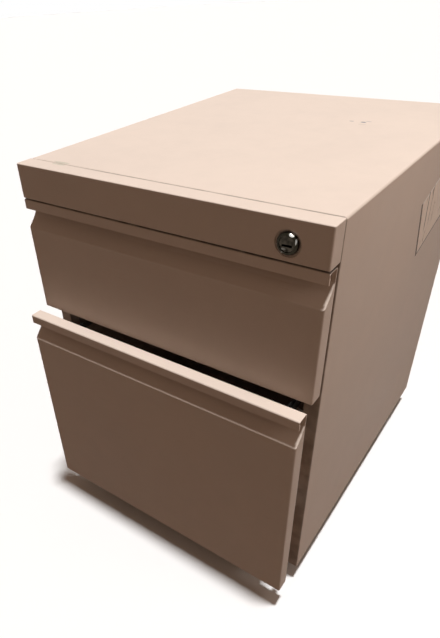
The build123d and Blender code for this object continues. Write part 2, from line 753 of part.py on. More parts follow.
def make_lock_cam():
    """Arm on the plug's tail; its pin works in the lock bar's slot."""
    tip = Vector(CAM_ARM, 0).rotate(Axis.Z, CAM_START_ANGLE) + Vector(LOCK_X, LOCK_Z)
    pin_length = CAM_THICKNESS + GUIDE_PLAY + 2 * BAR_THICKNESS
    with BuildPart() as cam:
        with BuildSketch(across(BARREL_END_Y)):
            with Locations((LOCK_X, LOCK_Z)):
                Circle(PLUG_TAIL_RADIUS + SCREW_TIP)
            with Locations((tip.X, tip.Y)):
                Circle(CAM_TIP_RADIUS)
            make_hull()
            with Locations((LOCK_X, LOCK_Z)):
                Circle(PLUG_TAIL_RADIUS, mode=Mode.SUBTRACT)
        extrude(amount=-CAM_THICKNESS)
        with BuildSketch(across(BARREL_END_Y)):
            with Locations((tip.X, tip.Y)):
                Circle(CAM_PIN_RADIUS)
        extrude(amount=-pin_length)
    return cam


def make_lock_bar():
    """Strip down the right side with a slotted arm at the lock and a hook over each catch."""
    half_arm = CAM_PIN_RADIUS + BAR_SLOT_PLAY + BAR_ARM_MARGIN
    pin_z = LOCK_Z + LOCK_TRAVEL / 2
    pin_x = LOCK_X + CAM_ARM
    arm_end_x = LOCK_X - BAR_ARM_MARGIN
    low_z = FILE_CATCH_Z + HOOK_RISE
    high_z = pin_z + half_arm
    hook = LOCK_TRAVEL + 2 * CATCH_PLAY
    with BuildPart() as bar:
        with BuildSketch(Plane.YZ.offset(BAR_X)):
            with Locations((BAR_Y + BAR_WIDTH / 2, (low_z + high_z) / 2)):
                Rectangle(BAR_WIDTH, high_z - low_z)
        extrude(amount=-BAR_THICKNESS)
        with BuildSketch(across(BAR_Y)):
            with Locations(((arm_end_x + BAR_X) / 2, pin_z)):
                Rectangle(BAR_X - arm_end_x, 2 * half_arm)
            for z in (BOX_CATCH_Z, FILE_CATCH_Z):
                with Locations((BAR_X - HOOK_REACH / 2, z + HOOK_RISE + hook / 2)):
                    Rectangle(HOOK_REACH, hook)
            with Locations((pin_x - CAM_ARM / 4, pin_z)):
                SlotOverall(
                    CAM_ARM + 2 * BAR_SLOT_PLAY,
                    2 * (CAM_PIN_RADIUS + BAR_SLOT_PLAY),
                    mode=Mode.SUBTRACT,
                )
        extrude(amount=-BAR_THICKNESS)
    return bar


def make_lock_bar_guides():
    """Two nylon blocks on the side wall; the bar slides through them."""
    outer = 2 * (GUIDE_WALL + GUIDE_PLAY)
    mid_y = BAR_Y + BAR_WIDTH / 2
    mid_x = BAR_X - BAR_THICKNESS / 2
    inner_face = mid_x - BAR_THICKNESS / 2 - GUIDE_PLAY - GUIDE_WALL / 2
    block = INNER_X - inner_face
    low = (FILE_CATCH_Z + BOX_CATCH_Z) / 2
    high = (BOX_CATCH_Z + HEADER_Z) / 2 + HOOK_RISE
    with BuildPart() as guides:
        for z in (low, high):
            with BuildSketch(level(z)):
                with Locations((inner_face + block / 2, mid_y)):
                    Rectangle(block, BAR_WIDTH + outer)
                with Locations((mid_x, mid_y)):
                    Rectangle(
                        BAR_THICKNESS + 2 * GUIDE_PLAY,
                        BAR_WIDTH + 2 * GUIDE_PLAY,
                        mode=Mode.SUBTRACT,
                    )
            extrude(amount=GUIDE_HEIGHT)
    return guides


# Casters


def make_caster_plates():
    """Fixed plates under the base, each with the upper race and the kingpin."""
    low_z = CASTER_HEIGHT - CASTER_PLATE_THICKNESS
    pin_z = low_z - RACE_HEIGHT - FORK_STEEL - 2 * RACE_PLAY
    spots = list(caster_places().values())
    with BuildPart() as plates:
        with BuildSketch(level(low_z)):
            with Locations(*spots):
                RectangleRounded(CASTER_PLATE_SIZE, CASTER_PLATE_SIZE, CASTER_SCREW_RADIUS)
                with GridLocations(CASTER_SCREW_SPACING, CASTER_SCREW_SPACING, 2, 2):
                    Circle(CASTER_SCREW_RADIUS + SCREW_PLAY, mode=Mode.SUBTRACT)
        extrude(amount=CASTER_PLATE_THICKNESS)
        with BuildSketch(level(low_z)):
            with Locations(*spots):
                Circle(RACE_RADIUS)
        extrude(amount=-RACE_HEIGHT)
        with BuildSketch(level(low_z)):
            with Locations(*spots):
                Circle(KINGPIN_RADIUS)
        extrude(amount=pin_z - low_z)
        with BuildSketch(level(pin_z)):
            with Locations(*spots):
                Circle(KINGPIN_HEAD_RADIUS)
        extrude(amount=-KINGPIN_HEAD_HEIGHT)
    return plates


def make_caster_fork(x, y):
    """Swivelling fork: a disc with two ears that trail to the axle."""
    top_z = CASTER_HEIGHT - CASTER_PLATE_THICKNESS - RACE_HEIGHT - RACE_PLAY
    disc_z = top_z - FORK_STEEL
    ear = WHEEL_WIDTH / 2 + FORK_PLAY
    with BuildPart() as fork:
        for side in (-1, 1):
            with BuildSketch(Plane.YZ.offset(x + side * ear)):
                with Locations((y, disc_z + FORK_STEEL / 2)):
                    Rectangle(1.6 * FORK_DISC_RADIUS, FORK_STEEL)
                with Locations((y + CASTER_TRAIL, WHEEL_RADIUS)):
                    Circle(FORK_BOSS_RADIUS)
                make_hull()
            extrude(amount=side * FORK_STEEL)
        with BuildSketch(level(disc_z)):
            with Locations((x, y)):
                Circle(FORK_DISC_RADIUS)
                Circle(KINGPIN_RADIUS + KINGPIN_PLAY, mode=Mode.SUBTRACT)
        extrude(amount=FORK_STEEL)
        with BuildSketch(Plane.YZ.offset(x)):
            with Locations((y + CASTER_TRAIL, WHEEL_RADIUS)):
                Circle(AXLE_RADIUS)
        extrude(amount=ear + FORK_STEEL, both=True, mode=Mode.SUBTRACT)
    return fork


def make_caster_axle(x, y):
    """Riveted pin through the ears."""
    half = WHEEL_WIDTH / 2 + FORK_PLAY + FORK_STEEL
    with BuildPart() as axle:
        with BuildSketch(Plane.YZ.offset(x)):
            with Locations((y + CASTER_TRAIL, WHEEL_RADIUS)):
                Circle(AXLE_RADIUS)
        extrude(amount=half, both=True)
        for side in (-1, 1):
            with BuildSketch(Plane.YZ.offset(x + side * half)):
                with Locations((y + CASTER_TRAIL, WHEEL_RADIUS)):
                    Circle(AXLE_HEAD_RADIUS)
            extrude(amount=side * AXLE_HEAD)
    return axle


def make_caster_wheel(x, y):
    """Crowned wheel with a raised hub, turned about its axle."""
    half = WHEEL_WIDTH / 2
    edge = WHEEL_RADIUS - WHEEL_CROWN
    hub_half = half + FORK_PLAY / 2
    centre = Vector(x, y + CASTER_TRAIL, WHEEL_RADIUS)
    turning = Plane(origin=centre, x_dir=(1, 0, 0), z_dir=(0, -1, 0))
    with BuildPart() as wheel:
        with BuildSketch(turning):
            with BuildLine():
                Polyline(
                    (-half, edge),
                    (-half, WHEEL_HUB_RADIUS),
                    (-hub_half, WHEEL_HUB_RADIUS),
                    (-hub_half, AXLE_RADIUS + AXLE_PLAY),
                    (hub_half, AXLE_RADIUS + AXLE_PLAY),
                    (hub_half, WHEEL_HUB_RADIUS),
                    (half, WHEEL_HUB_RADIUS),
                    (half, edge),
                    (half - WHEEL_CROWN, WHEEL_RADIUS),
                    (WHEEL_CROWN - half, WHEEL_RADIUS),
                    close=True,
                )
            make_face()
        revolve(axis=Axis(centre, (1, 0, 0)))
    return wheel


def make_caster_screws():
    """Screws up through the caster plates into the base pan."""
    head_z = CASTER_HEIGHT - CASTER_PLATE_THICKNESS
    with BuildPart() as screws:
        for x, y in caster_places().values():
            with BuildSketch(level(head_z)):
                with Locations((x, y)):
                    with GridLocations(CASTER_SCREW_SPACING, CASTER_SCREW_SPACING, 2, 2):
                        RegularPolygon(CASTER_HEAD_RADIUS, 6)
            extrude(amount=-CASTER_HEAD_HEIGHT)
            with BuildSketch(level(head_z)):
                with Locations((x, y)):
                    with GridLocations(CASTER_SCREW_SPACING, CASTER_SCREW_SPACING, 2, 2):
                        Circle(CASTER_SCREW_RADIUS)
            extrude(amount=CASTER_PLATE_THICKNESS + SHEET + SCREW_TIP)
    return screws


def save_drawer(name, face_y, top_z, front_height, tray_z, tray_height, slide_z, catch_z):
    """Writes one drawer's pieces and the members of its two slides."""
    screws = screw_places(tray_height, tray_z)
    opened = BOX_FACE_Y - face_y
    slide_y = CASE_FRONT_Y + SLIDE_SETBACK
    save(make_drawer_front(front_height, face_y, top_z), f"{name}_front")
    save(make_front_liner(front_height, face_y, top_z, screws), f"{name}_front_liner")
    save(make_bumpers(front_height, face_y, top_z), f"{name}_bumpers")
    save(make_tray_floor(face_y, tray_z), f"{name}_tray_floor")
    save(make_tray_sides(tray_height, face_y, tray_z), f"{name}_tray_sides")
    save(make_tray_ends(tray_height, face_y, tray_z, screws), f"{name}_tray_ends")
    save(make_front_screws(face_y, screws), f"{name}_front_screws")
    save(make_catch(face_y, catch_z), f"{name}_catch")
    members = {
        "outer": make_slide_outer(slide_y, slide_z),
        "middle": make_slide_middle(slide_y - opened / 2, slide_z),
        "inner": make_slide_inner(slide_y - opened, slide_z),
    }
    for member, right in members.items():
        save(right, f"{name}_slide_{member}_right")
        save(mirrored(right), f"{name}_slide_{member}_left")


def main():
    os.makedirs("parts", exist_ok=True)
    save(make_case_wrapper(), "case_wrapper")
    save(make_back_panel(), "back_panel")
    save(make_base_pan(), "base_pan")
    save(make_counterweight(), "counterweight")
    save(make_header_fascia(), "header_fascia")
    save(make_lock_rail(), "lock_rail")
    uprights = make_uprights()
    save(uprights, "right_uprights")
    save(mirrored(uprights), "left_uprights")
    save_drawer(
        "box",
        BOX_FACE_Y,
        BOX_TOP_Z,
        BOX_FRONT_HEIGHT,
        BOX_TRAY_Z,
        BOX_TRAY_HEIGHT,
        BOX_TRAY_Z + BOX_SLIDE_HEIGHT,
        BOX_CATCH_Z,
    )
    save_drawer(
        "file",
        FILE_FACE_Y,
        FILE_TOP_Z,
        FILE_FRONT_HEIGHT,
        FILE_TRAY_Z,
        FILE_TRAY_HEIGHT,
        FILE_TRAY_Z + FILE_SLIDE_HEIGHT,
        FILE_CATCH_Z,
    )
    hanging_rail = make_hanging_rail(FILE_FACE_Y)
    save(hanging_rail, "hanging_rail_right")
    save(mirrored(hanging_rail), "hanging_rail_left")
    save(make_lock_housing(), "lock_housing")
    save(make_lock_nut(), "lock_nut")
    save(make_lock_plug(), "lock_plug")
    save(make_lock_cam(), "lock_cam")
    save(make_lock_bar(), "lock_bar")
    save(make_lock_bar_guides(), "lock_bar_guides")
    save(make_caster_plates(), "caster_plates")
    for place, (x, y) in caster_places().items():
        save(make_caster_fork(x, y), f"{place}_caster_fork")
        save(make_caster_axle(x, y), f"{place}_caster_axle")
        save(make_caster_wheel(x, y), f"{place}_caster_wheel")
    save(make_caster_screws(), "caster_screws")


main()
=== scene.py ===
import json
import math

import bmesh
import bpy
from mathutils import Matrix, Vector


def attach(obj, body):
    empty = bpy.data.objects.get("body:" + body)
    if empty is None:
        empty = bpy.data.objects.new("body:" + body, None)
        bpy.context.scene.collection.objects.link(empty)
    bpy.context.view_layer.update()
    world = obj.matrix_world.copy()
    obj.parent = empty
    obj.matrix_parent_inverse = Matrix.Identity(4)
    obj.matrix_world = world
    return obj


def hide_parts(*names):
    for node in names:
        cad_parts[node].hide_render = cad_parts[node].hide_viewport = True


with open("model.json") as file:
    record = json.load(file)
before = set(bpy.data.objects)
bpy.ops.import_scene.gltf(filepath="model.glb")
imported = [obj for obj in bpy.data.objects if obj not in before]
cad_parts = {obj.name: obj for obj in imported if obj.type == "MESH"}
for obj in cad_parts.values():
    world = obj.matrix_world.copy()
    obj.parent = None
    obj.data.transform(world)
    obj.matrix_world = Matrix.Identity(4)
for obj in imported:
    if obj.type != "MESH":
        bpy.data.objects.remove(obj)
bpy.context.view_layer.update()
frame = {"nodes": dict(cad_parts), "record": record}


# Colours, as linear light

CREAM = (0.750, 0.645, 0.572, 1)
CREAM_WORN = (0.600, 0.490, 0.405, 1)
CREAM_DUSTY = (0.600, 0.530, 0.460, 1)
TAPE_BUFF = (0.960, 0.850, 0.760, 1)
# The tape's crease and edge colours are painted shade, the edge colour also the darker bottom edge.
TAPE_HIGHLIGHT = (0.960, 0.910, 0.860, 1)
# The tape's pale top-edge colour is a painted highlight.
TAPE_CREASE_SHADE = (0.330, 0.240, 0.180, 1)
TAPE_EDGE = (0.050, 0.027, 0.017, 1)
# The grime colour is real grime at welds and pits, and painted shade at the seam, the shut line and
# the lock's dish.
GRIME_AND_SHADE = (0.060, 0.046, 0.036, 1)
SMUDGE_GREY = (0.470, 0.455, 0.370, 1)
SCUFF_BLUE = (0.100, 0.130, 0.190, 1)
ZINC_LIGHT = (0.44, 0.44, 0.43, 1)
ZINC_DARK = (0.34, 0.34, 0.345, 1)
MILL_SCALE = (0.070, 0.072, 0.078, 1)
RUST = (0.120, 0.055, 0.030, 1)
# The clean chrome colour is laid on the bezel and plug as painted highlights and reflections.
CHROME_HIGHLIGHT = (0.800, 0.780, 0.730, 1)
CHROME_BRIGHT = (0.040, 0.035, 0.026, 1)
CHROME_DULL = (0.014, 0.012, 0.008, 1)
PLUG_BRIGHT = (0.050, 0.042, 0.032, 1)
PLUG_DULL = (0.012, 0.010, 0.007, 1)
RUBBER_BLACK = (0.020, 0.020, 0.021, 1)
NYLON_WHITE = (0.66, 0.66, 0.62, 1)
NYLON_BLACK = (0.022, 0.022, 0.024, 1)
DUST = (0.340, 0.310, 0.270, 1)


# Places and sizes of the details, in metres in the shared frame

TOP = 0.534
OUTER_SIDE_FROM = 0.1995
BACK_FACE_FROM = 0.260
SEAM_Y = -0.2142
SHUT_LINE = 0.4914
FADE_FROM, FADE_TO = -0.160, -0.060
LOCK_CENTRE = (0.158, -0.2357, 0.510)
DISH_RADIUS = 0.0128
BEZEL_RADIUS = 0.0090
BURN_RADIUS = 0.0036

TAPE_CORNER = (0.200, 0.076, 0.382)
TAPE_TILT = math.radians(-13.5)
TAPE_WIDTH = 0.084
TAPE_LENGTH = 0.165
TAPE_LEAN = 0.09
# Each crease's painted shade line: where it starts, its slant, its half width and how dark it is
TAPE_SHADED_CREASES = ((0.0210, 0.13, 0.0019, 0.80), (0.0360, 0.16, 0.0014, 0.62))

# Each drawer: its name, its face's Y, its tray's foot and height, and its slides' height
DRAWERS = (("box", -0.2375, 0.346, 0.100, 0.394), ("file", -0.2665, 0.0632, 0.235, 0.1732))
FRONT_DEPTH = 0.018
FACE_TO_SCREWS = 0.019
SCREW_COLUMNS_APART = 0.291
SCREW_FROM_EDGE = 0.024
TRAY_SIDE = 0.1685
HALF_TRAY_LENGTH = 0.2275

AXLES_X = (("left", -0.155), ("right", 0.155))
AXLES_Y = (("front", -0.1505), ("rear", 0.2185))
AXLE_HEIGHT = 0.019
RIBS_TURN = 0.3
CASTER_COLUMNS_APART = 0.310
CASTER_ROWS_APART = 0.369
CASTERS_MIDDLE_Y = 0.019
CASTER_PLATE_FOOT = 0.0475

SEAT_CLEARANCE = 0.00001
QUARTER_TURN = math.pi / 2
PAINT_SPECULAR = 0.06


# Node building


def feed(tree, socket, value):
    """Links an input to another node's output, or sets the input's own value."""
    if isinstance(value, bpy.types.NodeSocket):
        tree.links.new(value, socket)
    else:
        socket.default_value = value


def put(tree, kind, inputs=None, **settings):
    """Adds a node, sets its properties, and sets or links its inputs by name."""
    made = tree.nodes.new(kind)
    for name, value in settings.items():
        setattr(made, name, value)
    for name, value in (inputs or {}).items():
        feed(tree, made.inputs[name], value)
    return made


def math_of(tree, operation, *values, clamp=False):
    made = put(tree, "ShaderNodeMath", operation=operation, use_clamp=clamp)
    for socket, value in zip(made.inputs, values):
        feed(tree, socket, value)
    return made.outputs[0]


def times(tree, *values, clamp=False):
    return math_of(tree, "MULTIPLY", *values, clamp=clamp)


def plus(tree, *values, clamp=False):
    return math_of(tree, "ADD", *values, clamp=clamp)


def minus(tree, *values):
    return math_of(tree, "SUBTRACT", *values)


def ratio(tree, *values):
    return math_of(tree, "DIVIDE", *values)


def vector_math(tree, operation, *values):
    """The outputs of a vector math node: a vector first, or a number by the name Value."""
    inputs = dict(enumerate(values))
    return put(tree, "ShaderNodeVectorMath", inputs, operation=operation).outputs


def length_of(tree, vector):
    return vector_math(tree, "LENGTH", vector)["Value"]


def axes_of(tree, vector):
    """A vector's X, Y and Z, by name."""
    return put(tree, "ShaderNodeSeparateXYZ", {"Vector": vector}).outputs


def vector_from(tree, **axes):
    return put(tree, "ShaderNodeCombineXYZ", axes).outputs[0]


def spread(tree, value, low, high, to_low=0.0, to_high=1.0, smooth=True):
    """Maps a value from low..high to to_low..to_high, held at the ends."""
    made = put(
        tree,
        "ShaderNodeMapRange",
        {
            "Value": value,
            "From Min": low,
            "From Max": high,
            "To Min": to_low,
            "To Max": to_high,
        },
        interpolation_type="SMOOTHSTEP" if smooth else "LINEAR",
    )
    return made.outputs["Result"]


def mix_colour(tree, mask, under, over):
    made = put(tree, "ShaderNodeMix", data_type="RGBA")
    for index, value in ((0, mask), (6, under), (7, over)):
        feed(tree, made.inputs[index], value)
    return made.outputs[2]


def laid_on(tree, under, over, mask, strength):
    """One colour over another, where the mask says, as strongly as strength says."""
    return mix_colour(tree, times(tree, mask, strength), under, over)


def toned(colour, factor):
    """A colour made lighter or darker by a factor."""
    return tuple(part * factor for part in colour[:3]) + (1,)


def noise(tree, place, size, detail=2.0, stretch=None, distortion=0.0):
    """Noise whose features are about size metres across, longer where stretch is above 1."""
    if stretch:
        scale = tuple(1.0 / s for s in stretch)
        place = put(tree, "ShaderNodeMapping", {"Vector": place, "Scale": scale}).outputs[0]
    made = put(
        tree,
        "ShaderNodeTexNoise",
        {"Vector": place, "Scale": 1.0 / size, "Detail": detail, "Distortion": distortion},
    )
    return made.outputs["Fac"]


def spaced(inputs):
    """Inputs by name, with spaces in the names in place of underscores."""
    return {name.replace("_", " "): value for name, value in inputs.items()}


def add_inputs(tree, takes):
    """Gives a node group its inputs: takes are (name, kind, default or None)."""
    for name, kind, value in takes:
        socket = tree.interface.new_socket(name, in_out="INPUT", socket_type=f"NodeSocket{kind}")
        if value is not None:
            socket.default_value = value


def effect(name, takes, gives):
    """Starts a shader node group with named inputs and outputs."""
    tree = bpy.data.node_groups.new(name, "ShaderNodeTree")
    add_inputs(tree, takes)
    for label, kind in gives:
        tree.interface.new_socket(label, in_out="OUTPUT", socket_type=f"NodeSocket{kind}")
    start = tree.nodes.new("NodeGroupInput").outputs
    end = tree.nodes.new("NodeGroupOutput").inputs
    return tree, start, end


def use(tree, group, **inputs):
    """Places an effect in a material; underscores in the inputs stand for spaces."""
    return put(tree, "ShaderNodeGroup", spaced(inputs), node_tree=group).outputs


def turned_place(tree, start):
    """An effect's Place, turned by its Turn."""
    inputs = {"Vector": start["Place"], "Rotation": start["Turn"]}
    return put(tree, "ShaderNodeMapping", inputs).outputs[0]


# Shared effects


def make_powder_coat():
    """Orange peel of a sprayed and baked coat, with the slow drift of its tone."""
    tree, start, end = effect(
        "powder coat",
        [("Place", "Vector", None), ("Peel size", "Float", 0.0016)],
        [("Tone", "Float"), ("Height", "Float")],
    )
    place = start["Place"]
    scale = ratio(tree, 1.0, start["Peel size"])
    peel = put(tree, "ShaderNodeTexNoise", {"Vector": place, "Scale": scale, "Detail": 2.0})
    slow = noise(tree, place, 0.16, detail=3.0)
    patch = noise(tree, place, 0.030, detail=4.0)
    tone = plus(tree, times(tree, slow, 0.7), times(tree, patch, 0.3))
    tree.links.new(tone, end["Tone"])
    tree.links.new(peel.outputs["Fac"], end["Height"])
    return tree


def make_rub_marks():
    """Fine streaks in loose patches, where hands, bags and folders brush past."""
    tree, start, end = effect(
        "rub marks",
        [("Place", "Vector", None), ("Amount", "Float", 0.5), ("Turn", "Vector", None)],
        [("Mask", "Float")],
    )
    turned = turned_place(tree, start)
    streaks = spread(tree, noise(tree, turned, 0.0012, 3.0, (26.0, 1.0, 1.0), 0.4), 0.60, 0.72)
    patches = spread(tree, noise(tree, turned, 0.070, 3.0), 0.50, 0.66)
    mask = times(tree, streaks, patches)
    tree.links.new(times(tree, mask, start["Amount"]), end["Mask"])
    return tree


def make_spot_mark():
    """One mark with a ragged edge, about a centre, as long each way as Reach says."""
    tree, start, end = effect(
        "spot mark",
        [
            ("Place", "Vector", None),
            ("Centre", "Vector", None),
            ("Reach", "Vector", (0.01, 0.01, 0.01)),
            ("Break up", "Float", 0.5),
        ],
        [("Mask", "Float")],
    )
    offset = vector_math(tree, "SUBTRACT", start["Place"], start["Centre"])[0]
    scaled = vector_math(tree, "DIVIDE", offset, start["Reach"])[0]
    away = length_of(tree, scaled)
    ragged = times(tree, noise(tree, start["Place"], 0.0035, 4.0), start["Break up"])
    distance = plus(tree, away, ragged)
    tree.links.new(spread(tree, distance, 1.0, 0.75), end["Mask"])
    return tree


def make_settled_dust():
    """Dust that lies on what faces up, thicker in patches."""
    tree, start, end = effect(
        "settled dust",
        [("Place", "Vector", None), ("Amount", "Float", 0.3)],
        [("Mask", "Float")],
    )
    normal = put(tree, "ShaderNodeNewGeometry").outputs["Normal"]
    up = axes_of(tree, normal)["Z"]
    lying = spread(tree, up, 0.55, 0.95)
    clumps = spread(tree, noise(tree, start["Place"], 0.012, 5.0), 0.35, 0.75, 0.35, 1.0)
    mask = times(tree, lying, clumps)
    tree.links.new(times(tree, mask, start["Amount"], clamp=True), end["Mask"])
    return tree


def make_seam_shade_and_dirt():
    """Painted shade with some dirt along a straight seam, patchy, and fainter towards its left end.
    """
    tree, start, end = effect(
        "seam shade and dirt",
        [
            ("Place", "Vector", None),
            ("Across", "Vector", (0, 1, 0)),
            ("Seam", "Float", 0.0),
            ("Width", "Float", 0.001),
            ("Left over", "Float", 0.2),
        ],
        [("Mask", "Float")],
    )
    axes = axes_of(tree, start["Place"])
    way = vector_math(tree, "DOT_PRODUCT", start["Place"], start["Across"])["Value"]
    away = math_of(tree, "ABSOLUTE", minus(tree, way, start["Seam"]))
    away = ratio(tree, away, start["Width"])
    patchy = spread(tree, noise(tree, start["Place"], 0.018, 4.0), 0.35, 0.65, 0.55, 1.0)
    left_fade = spread(tree, axes["X"], FADE_FROM, FADE_TO, start["Left over"], 1.0)
    mask = times(tree, spread(tree, away, 1.0, 0.45), patchy)
    tree.links.new(times(tree, mask, left_fade), end["Mask"])
    return tree


def make_lock_shade_disc():
    """Disc mask about the lock's axis, ragged at its rim: painted shade in the dish round the lock,
    and the bezel's face inside its painted dark shoulder.
    """
    tree, start, end = effect(
        "lock shade disc",
        [("Place", "Vector", None), ("Centre", "Vector", None), ("Radius", "Float", 0.013)],
        [("Mask", "Float")],
    )
    offset = vector_math(tree, "SUBTRACT", start["Place"], start["Centre"])[0]
    flat = vector_math(tree, "MULTIPLY", offset, (1, 0, 1))[0]
    away = length_of(tree, flat)
    away = ratio(tree, away, start["Radius"])
    ragged = times(tree, noise(tree, start["Place"], 0.004, 4.0), 0.12)
    away = plus(tree, away, ragged)
    tree.links.new(spread(tree, away, 1.05, 0.90), end["Mask"])
    return tree


def make_weld_marks():
    """Two rows of dimples left by spot welding, one near each side, on what faces the back."""
    tree, start, end = effect(
        "weld marks",
        [
            ("Place", "Vector", None),
            ("Row", "Float", 0.193),
            ("Pitch", "Float", 0.070),
            ("Radius", "Float", 0.0028),
        ],
        [("Mask", "Float")],
    )
    axes = axes_of(tree, start["Place"])
    across = minus(tree, math_of(tree, "ABSOLUTE", axes["X"]), start["Row"])
    half = times(tree, start["Pitch"], 0.5)
    along = minus(tree, math_of(tree, "MODULO", axes["Z"], start["Pitch"]), half)
    away = length_of(tree, vector_from(tree, X=across, Y=along))
    away = ratio(tree, away, start["Radius"])
    normal = put(tree, "ShaderNodeNewGeometry").outputs["Normal"]
    facing = axes_of(tree, normal)["Y"]
    rear = math_of(tree, "GREATER_THAN", facing, 0.9)
    behind = math_of(tree, "GREATER_THAN", axes["Y"], BACK_FACE_FROM)
    mask = times(tree, spread(tree, away, 1.0, 0.80), times(tree, rear, behind))
    tree.links.new(mask, end["Mask"])
    return tree


def make_zinc_bloom():
    """Cloudy grains of a zinc coat."""
    tree, start, end = effect(
        "zinc bloom",
        [("Place", "Vector", None), ("Grain size", "Float", 0.006)],
        [("Tone", "Float"), ("Height", "Float")],
    )
    scale = ratio(tree, 1.0, start["Grain size"])
    grains = put(tree, "ShaderNodeTexVoronoi", {"Vector": start["Place"], "Scale": scale})
    tone = put(tree, "ShaderNodeSeparateColor", {"Color": grains.outputs["Color"]}).outputs[0]
    cloud = noise(tree, start["Place"], 0.020, 3.0)
    mixed = plus(tree, times(tree, tone, 0.4), times(tree, cloud, 0.6))
    tree.links.new(mixed, end["Tone"])
    tree.links.new(noise(tree, start["Place"], 0.0008, 2.0), end["Height"])
    return tree


def make_drawn_lines():
    """Die lines along the length of rolled or drawn metal."""
    tree, start, end = effect(
        "drawn lines",
        [("Place", "Vector", None), ("Turn", "Vector", None)],
        [("Height", "Float")],
    )
    turned = turned_place(tree, start)
    tree.links.new(noise(tree, turned, 0.0005, 2.0, (120.0, 1.0, 1.0)), end["Height"])
    return tree


def make_moulded_skin():
    """Fine spark-eroded grain of moulded plastic and rubber."""
    tree, start, end = effect(
        "moulded skin",
        [("Place", "Vector", None), ("Grain size", "Float", 0.0006)],
        [("Tone", "Float"), ("Height", "Float")],
    )
    scale = ratio(tree, 1.0, start["Grain size"])
    cells = put(tree, "ShaderNodeTexVoronoi", {"Vector": start["Place"], "Scale": scale})
    tree.links.new(noise(tree, start["Place"], 0.010, 3.0), end["Tone"])
    tree.links.new(cells.outputs["Distance"], end["Height"])
    return tree


def make_paper_tape():
    """Bare strip of paper tape on the right side, tilted and creased, with painted shade along its
    folded left edge and in its creases, a painted highlight along its top edge, and darker along
    its bottom edge.
    """
    tree, start, end = effect(
        "paper tape",
        [("Place", "Vector", None)],
        [("Mask", "Float"), ("Colour", "Color"), ("Height", "Float")],
    )
    shifted = put(
        tree,
        "ShaderNodeMapping",
        {"Vector": start["Place"], "Location": TAPE_CORNER, "Rotation": (-TAPE_TILT, 0, 0)},
        vector_type="TEXTURE",
    ).outputs[0]
    axes = axes_of(tree, shifted)
    ragged = times(tree, noise(tree, start["Place"], 0.006, 4.0), 0.0016)
    along = plus(tree, axes["Y"], ragged)
    lean = times(tree, axes["Z"], TAPE_LEAN)
    left = plus(tree, along, lean)
    above = plus(tree, axes["Z"], times(tree, ragged, 0.5))
    right = minus(tree, TAPE_LENGTH, left)
    top = minus(tree, TAPE_WIDTH, above)
    nearest = math_of(tree, "MINIMUM", left, right)
    nearest = math_of(tree, "MINIMUM", nearest, above)
    nearest = math_of(tree, "MINIMUM", nearest, top)
    outside_x = axes_of(tree, start["Place"])["X"]
    on_side = math_of(tree, "GREATER_THAN", outside_x, OUTER_SIDE_FROM)
    mask = times(tree, spread(tree, nearest, 0.0, 0.0004), on_side)
    # Painted shade along the folded left edge, and a darker band along the bottom edge.
    left_fold_shade = spread(tree, left, 0.0072, 0.0040, 0.0, 0.92)
    bottom_darkening = spread(tree, above, 0.0036, 0.0014, 0.0, 0.80)
    shade_and_dirt = math_of(tree, "MAXIMUM", left_fold_shade, bottom_darkening)
    # Painted shade lines in the creases, rising in from near the bottom.
    for start_at, slant, wide, dark in TAPE_SHADED_CREASES:
        line = minus(tree, left, times(tree, axes["Z"], slant))
        line = math_of(tree, "ABSOLUTE", minus(tree, line, start_at))
        crease_shade_rise = spread(tree, axes["Z"], 0.020, 0.038, 0.0, dark)
        line = times(tree, spread(tree, line, wide, wide * 0.4), crease_shade_rise)
        shade_and_dirt = math_of(tree, "MAXIMUM", shade_and_dirt, line)
    # Painted highlight along the top edge.
    top_highlight = spread(tree, top, 0.0042, 0.0022)
    crease = noise(tree, shifted, 0.016, 2.0, (1.0, 1.0, 3.5), 0.5)
    fold = math_of(tree, "ABSOLUTE", minus(tree, crease, 0.5))
    some = spread(tree, noise(tree, shifted, 0.024, 2.0), 0.45, 0.60)
    fold = times(tree, spread(tree, fold, 0.018, 0.004), some)
    cloud = spread(tree, noise(tree, shifted, 0.030, 3.0), 0.35, 0.65, 0.0, 0.45)
    tone = mix_colour(tree, cloud, TAPE_BUFF, toned(TAPE_BUFF, 0.90))
    # Painted shade in the wrinkles, which also dip in the bump.
    tone = laid_on(tree, tone, TAPE_CREASE_SHADE, fold, strength=0.75)
    tone = mix_colour(tree, top_highlight, tone, TAPE_HIGHLIGHT)
    tree.links.new(mask, end["Mask"])
    tree.links.new(mix_colour(tree, shade_and_dirt, tone, TAPE_EDGE), end["Colour"])
    lifted = times(tree, mask, minus(tree, 1.0, times(tree, fold, 0.6)))
    tree.links.new(lifted, end["Height"])
    return tree


POWDER_COAT = make_powder_coat()
PAPER_TAPE = make_paper_tape()
RUB_MARKS = make_rub_marks()
SPOT_MARK = make_spot_mark()
SETTLED_DUST = make_settled_dust()
SEAM_SHADE_AND_DIRT = make_seam_shade_and_dirt()
LOCK_SHADE_DISC = make_lock_shade_disc()
WELD_MARKS = make_weld_marks()
ZINC_BLOOM = make_zinc_bloom()
DRAWN_LINES = make_drawn_lines()
MOULDED_SKIN = make_moulded_skin()


# Materials


def finish_named(name):
    """A new material with its tree, its principled shader and object coordinates."""
    material = bpy.data.materials.new(name)
    material.use_nodes = True
    tree = material.node_tree
    shader = tree.nodes["Principled BSDF"]
    place = tree.nodes.new("ShaderNodeTexCoord").outputs["Object"]
    return material, tree, shader, place


def raise_surface(tree, shader, height, strength, distance):
    inputs = {"Strength": strength, "Distance": distance, "Height": height}
    bump = put(tree, "ShaderNodeBump", inputs)
    tree.links.new(bump.outputs["Normal"], shader.inputs["Normal"])


